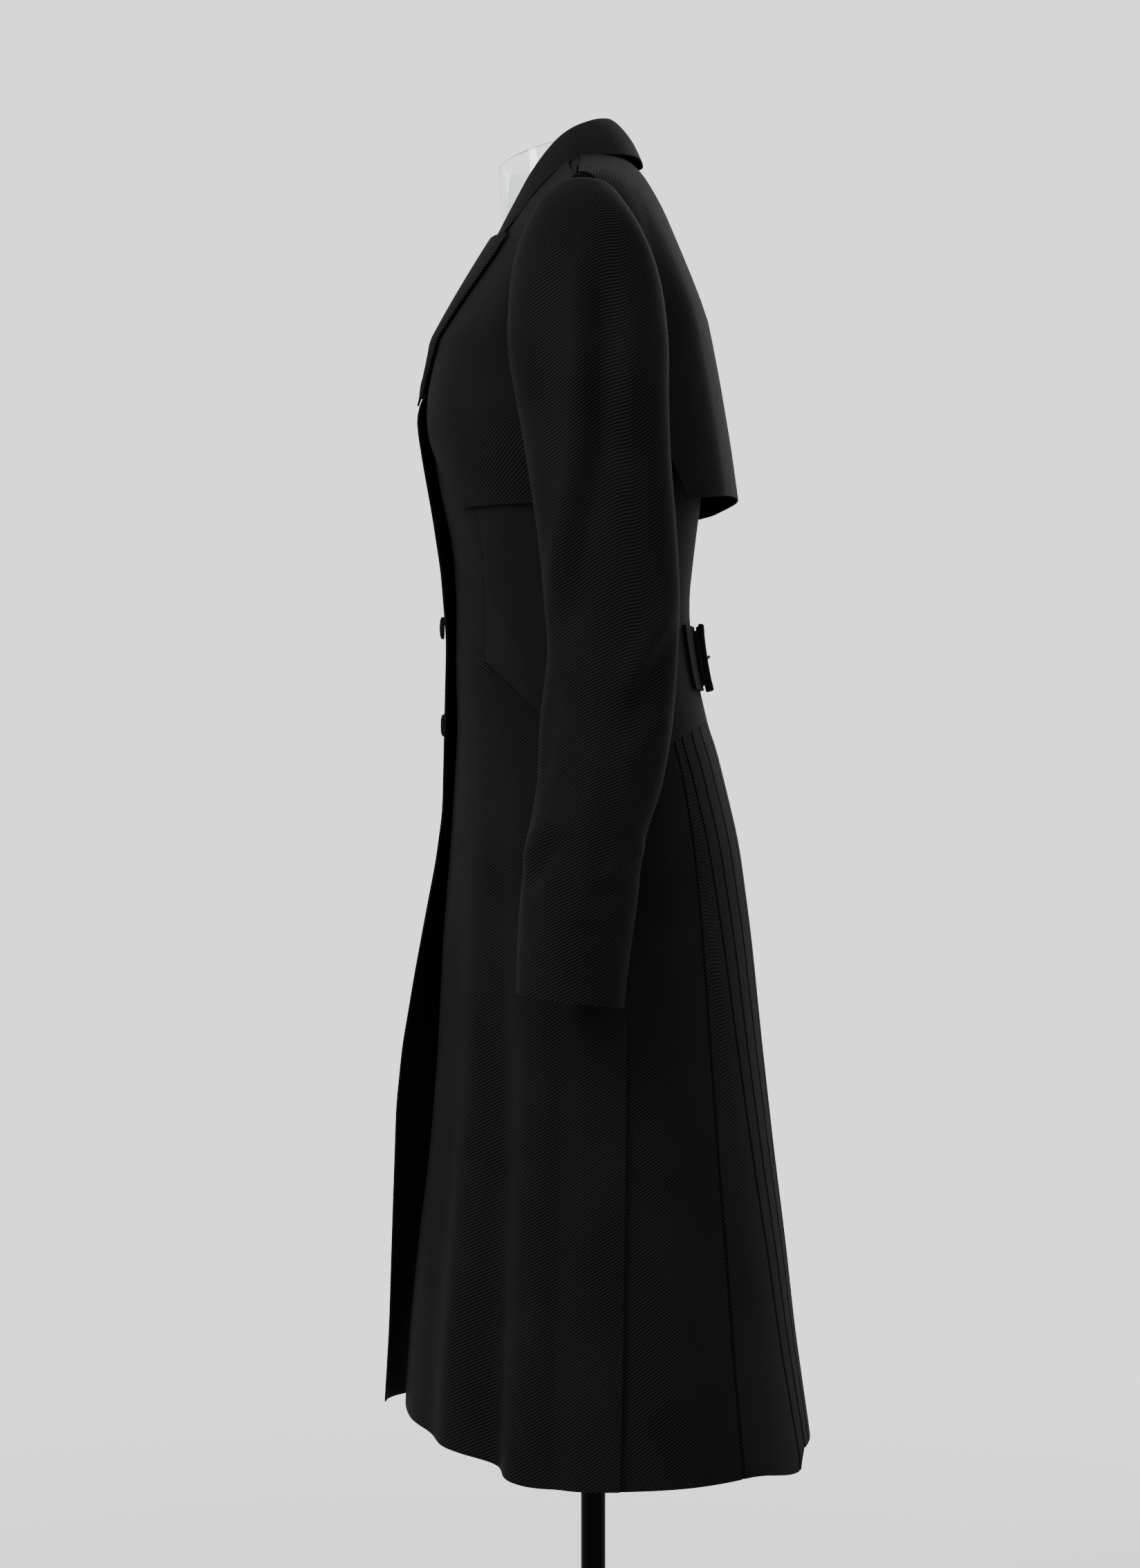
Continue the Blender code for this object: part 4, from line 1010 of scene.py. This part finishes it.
# The dress form is one hollow shell of clear acrylic, without limbs, open at the short neck
# and at the foot. A clear plate inside its foot sits on the pole.
ACRYLIC = 0.003
FORM_SIDES = 96
FORM_FRONT_FULL = 0.82
FORM_BACK_FULL = 0.52
FORM_SEAT = 0.0006
FORM_BOTTOM = 0.800
NECK_BASE = (0.062, -0.0760, 0.0080)
NECK_RIM = (0.060, -0.0810, 0.0040, 0.287)
RIM_Z = 1.374
# a row per ring of the bare form: height, half width, front, back
FORM = (
    (0.803, 0.150, -0.104, 0.098), (0.870, 0.142, -0.102, 0.090), (0.930, 0.126, -0.101, 0.078),
    (1.000, 0.113, -0.100, 0.069), (1.060, 0.122, -0.105, 0.073), (1.120, 0.138, -0.118, 0.078),
    (1.165, 0.146, -0.125, 0.077), (1.200, 0.150, -0.121, 0.074),
)


def form_section(row):
    z, half, front, back = row
    ring = []
    for n in range(FORM_SIDES):
        turn = 2 * pi * n / FORM_SIDES
        end = front if cos(turn) > 0 else back
        middle = RIDGE_Y * ease((z - WAIST_Z) / 0.2)
        ring.append(Vector((half * sin(turn), middle + (end - middle) * abs(cos(turn)), z)))
    return ring


def neck_ring(height, half, front, back, tilt):
    middle = (front + back) / 2
    ring = []
    for n in range(FORM_SIDES):
        turn = 2 * pi * n / FORM_SIDES
        y = middle - (back - front) / 2 * cos(turn)
        ring.append(Vector((half * sin(turn), y, height + (y - front) * tilt)))
    return ring


def form_shoulder(x, y):
    row = FORM[-1]
    end = row[2] if y < RIDGE_Y else row[3]
    base = (end - RIDGE_Y) * sqrt(max(1e-6, 1 - (x / row[1]) ** 2))
    ratio = min(1.0, max(0.0, (y - RIDGE_Y) / base))
    full = FORM_FRONT_FULL if y < RIDGE_Y else FORM_BACK_FULL
    ridge = shoulder_height(abs(x)) - CLOTH - FORM_SEAT
    return row[0] + (ridge - row[0]) * (1 - ratio ** (1 / full))


form_rows = [np.array(row) for row in FORM]
rings = [form_section(tuple(between(form_rows, part))) for part in spread(0, 1, 57)]
top = rings[-1]
base = neck_ring(0.0, *NECK_BASE, 0.0)
for part in spread(0, 1, 29)[1:]:
    ring = []
    for rim, foot_point in zip(top, base):
        place = rim + (foot_point - rim) * part
        ring.append(Vector((place.x, place.y, form_shoulder(place.x, place.y))))
    rings.append(ring)
foot = rings[-1]
rim = neck_ring(RIM_Z, *NECK_RIM)
rings += [[low + (high - low) * part for low, high in zip(foot, rim)]
          for part in spread(0, 1, 7)[1:]]
grid = [[ring[n] for ring in rings] for n in range(FORM_SIDES)]
inner = moved(grid, -ACRYLIC, ring=True)
clear_form = placed("clear_form", wall_mesh("clear_form", grid, inner, True, None, False)[0])

# cast acrylic: glassy and clear, with slow waves 70 mm long in its walls
acrylic, tree, shader = new_material("clear acrylic", Base_Color=linear("#f4f7f8"),
                                     Roughness=0.04, IOR=1.49, Transmission_Weight=1.0)
place = add_node(tree, "ShaderNodeTexCoord")
wave = add_node(tree, "ShaderNodeTexNoise", None, {"Scale": 14.0, "Detail": 1.0},
                {"Vector": (place, "Object")})
bump = add_node(tree, "ShaderNodeBump", None, {"Strength": 0.03, "Distance": 0.002},
                {"Height": (wave, "Fac")})
tree.links.new(bump.outputs["Normal"], shader.inputs["Normal"])
clear_form.data.materials.append(acrylic)

# the sawn and flamed rim is given a darker grey than the clear walls: painted shade for how it
# looks seen edge on
edge_shade_acrylic, _, _ = new_material("acrylic cut edge with painted shade", Base_Color=linear("#6d7376"),
                                  Roughness=0.25, IOR=1.49, Transmission_Weight=0.5)
clear_form.data.materials.append(edge_shade_acrylic)
for face in clear_form.data.polygons:
    if face.center.z > RIM_Z - 0.002 and face.normal.z > 0.6:
        face.material_index = 1
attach(clear_form, "root")
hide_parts("form_bust")

# The foot plate is cut from the same clear sheet to the form's own foot. It lies inside the
# shell, on the top of the pole.
PLATE_THICK = 0.006
PLATE_LOW_Z = FORM_BOTTOM + 0.006
bpy.ops.object.select_all(action="DESELECT")
bpy.ops.mesh.primitive_cylinder_add(vertices=96, radius=1.0, depth=PLATE_THICK,
                                    location=(0, 0, PLATE_LOW_Z + PLATE_THICK / 2))
bpy.ops.object.transform_apply()
plate = bpy.context.object
plate.name = plate.data.name = "foot_plate"
for vertex in plate.data.vertices:
    reach = (FORM[0][3] if vertex.co.y > 0 else -FORM[0][2]) - ACRYLIC - SEAM * 4
    vertex.co.x *= FORM[0][1] - ACRYLIC - SEAM * 8
    vertex.co.y *= reach * 0.978
rounded(plate, 0.0008, 2)
finish_part(plate, acrylic, "clear_acrylic", "form_plate")

# The stand is a round steel foot and a tube, both powder coated in satin black, which gives
# back little of the light around it.
BASE_RADIUS = 0.200
BASE_THICK = 0.012
POLE_RADIUS = 0.0105
# The coating's peel is drawn 4.5 mm across, coarser than real, so that it shows. Patches some
# 40 mm across are a little duller.
steel, tree, shader = new_material("satin black steel", Base_Color=linear("#020202"),
                                   Specular_IOR_Level=0.02)
place = add_node(tree, "ShaderNodeTexCoord")
peel = add_node(tree, "ShaderNodeTexNoise", None, {"Scale": 220.0, "Detail": 2.0},
                {"Vector": (place, "Object")})
dust = add_node(tree, "ShaderNodeTexNoise", None, {"Scale": 26.0, "Detail": 5.0},
                {"Vector": (place, "Object")})
dull = add_node(tree, "ShaderNodeMapRange", None, {"To Min": 0.22, "To Max": 0.42},
                {"Value": (dust, "Fac")})
bump = add_node(tree, "ShaderNodeBump", None, {"Strength": 0.06, "Distance": 0.0002},
                {"Height": (peel, "Fac")})
tree.links.new(dull.outputs["Result"], shader.inputs["Roughness"])
tree.links.new(bump.outputs["Normal"], shader.inputs["Normal"])
for name, node, radius, low, high, sides, soft in (
        ("stand_base", "base", BASE_RADIUS, 0.0, BASE_THICK, 160, 0.003),
        ("stand_pole", "pole", POLE_RADIUS, BASE_THICK + SEAM, PLATE_LOW_Z - SEAM, 64, 0.0006)):
    bpy.ops.object.select_all(action="DESELECT")
    bpy.ops.mesh.primitive_cylinder_add(vertices=sides, radius=radius, depth=high - low,
                                        location=(0, 0, (low + high) / 2))
    bpy.ops.object.transform_apply()
    tube = start_part(name)
    rounded(tube, soft, 4)
    finish_part(tube, steel, "black_steel", node)

# The camera stands level at the coat's left side, three metres off, as in the photograph. Its
# lens takes in what the photograph shows.
camera_data = bpy.data.cameras.new("camera")
camera_data.lens = 80.7
camera_data.sensor_width = 36.0
camera = placed("camera", camera_data)
camera.location = (3.0, -0.0198, 0.85)
camera.rotation_euler = (pi / 2, 0, pi / 2)
bpy.context.scene.camera = camera

# The light is soft and even, from a large bank above the front, a faint one beside the camera
# and a weaker one behind. The pale surround fills in the rest.
LIGHT_AIM = Vector((0.0, 0.0, 0.9))
# a row per bank: name, power, width, height, place
LIGHTS = (
    ("front bank", 190.0, 1.2, 1.8, (1.9, -2.2, 2.5)),
    ("side bank", 15.0, 1.8, 2.2, (3.2, 1.0, 1.9)),
    ("far bank", 45.0, 1.5, 2.0, (-2.2, 1.4, 2.2)),
)
for name, power, width, height, where in LIGHTS:
    lamp = bpy.data.lights.new(name, "AREA")
    lamp.shape = "RECTANGLE"
    lamp.energy = power
    lamp.size = width
    lamp.size_y = height
    bank = placed(name, lamp)
    bank.location = where
    bank.rotation_euler = (LIGHT_AIM - Vector(where)).to_track_quat("-Z", "Y").to_euler()
world = bpy.data.worlds.new("pale studio")
world.use_nodes = True
backdrop = world.node_tree.nodes["Background"]
backdrop.inputs["Color"].default_value = linear("#e2e2e3")
backdrop.inputs["Strength"].default_value = 2.35
bpy.context.scene.world = world
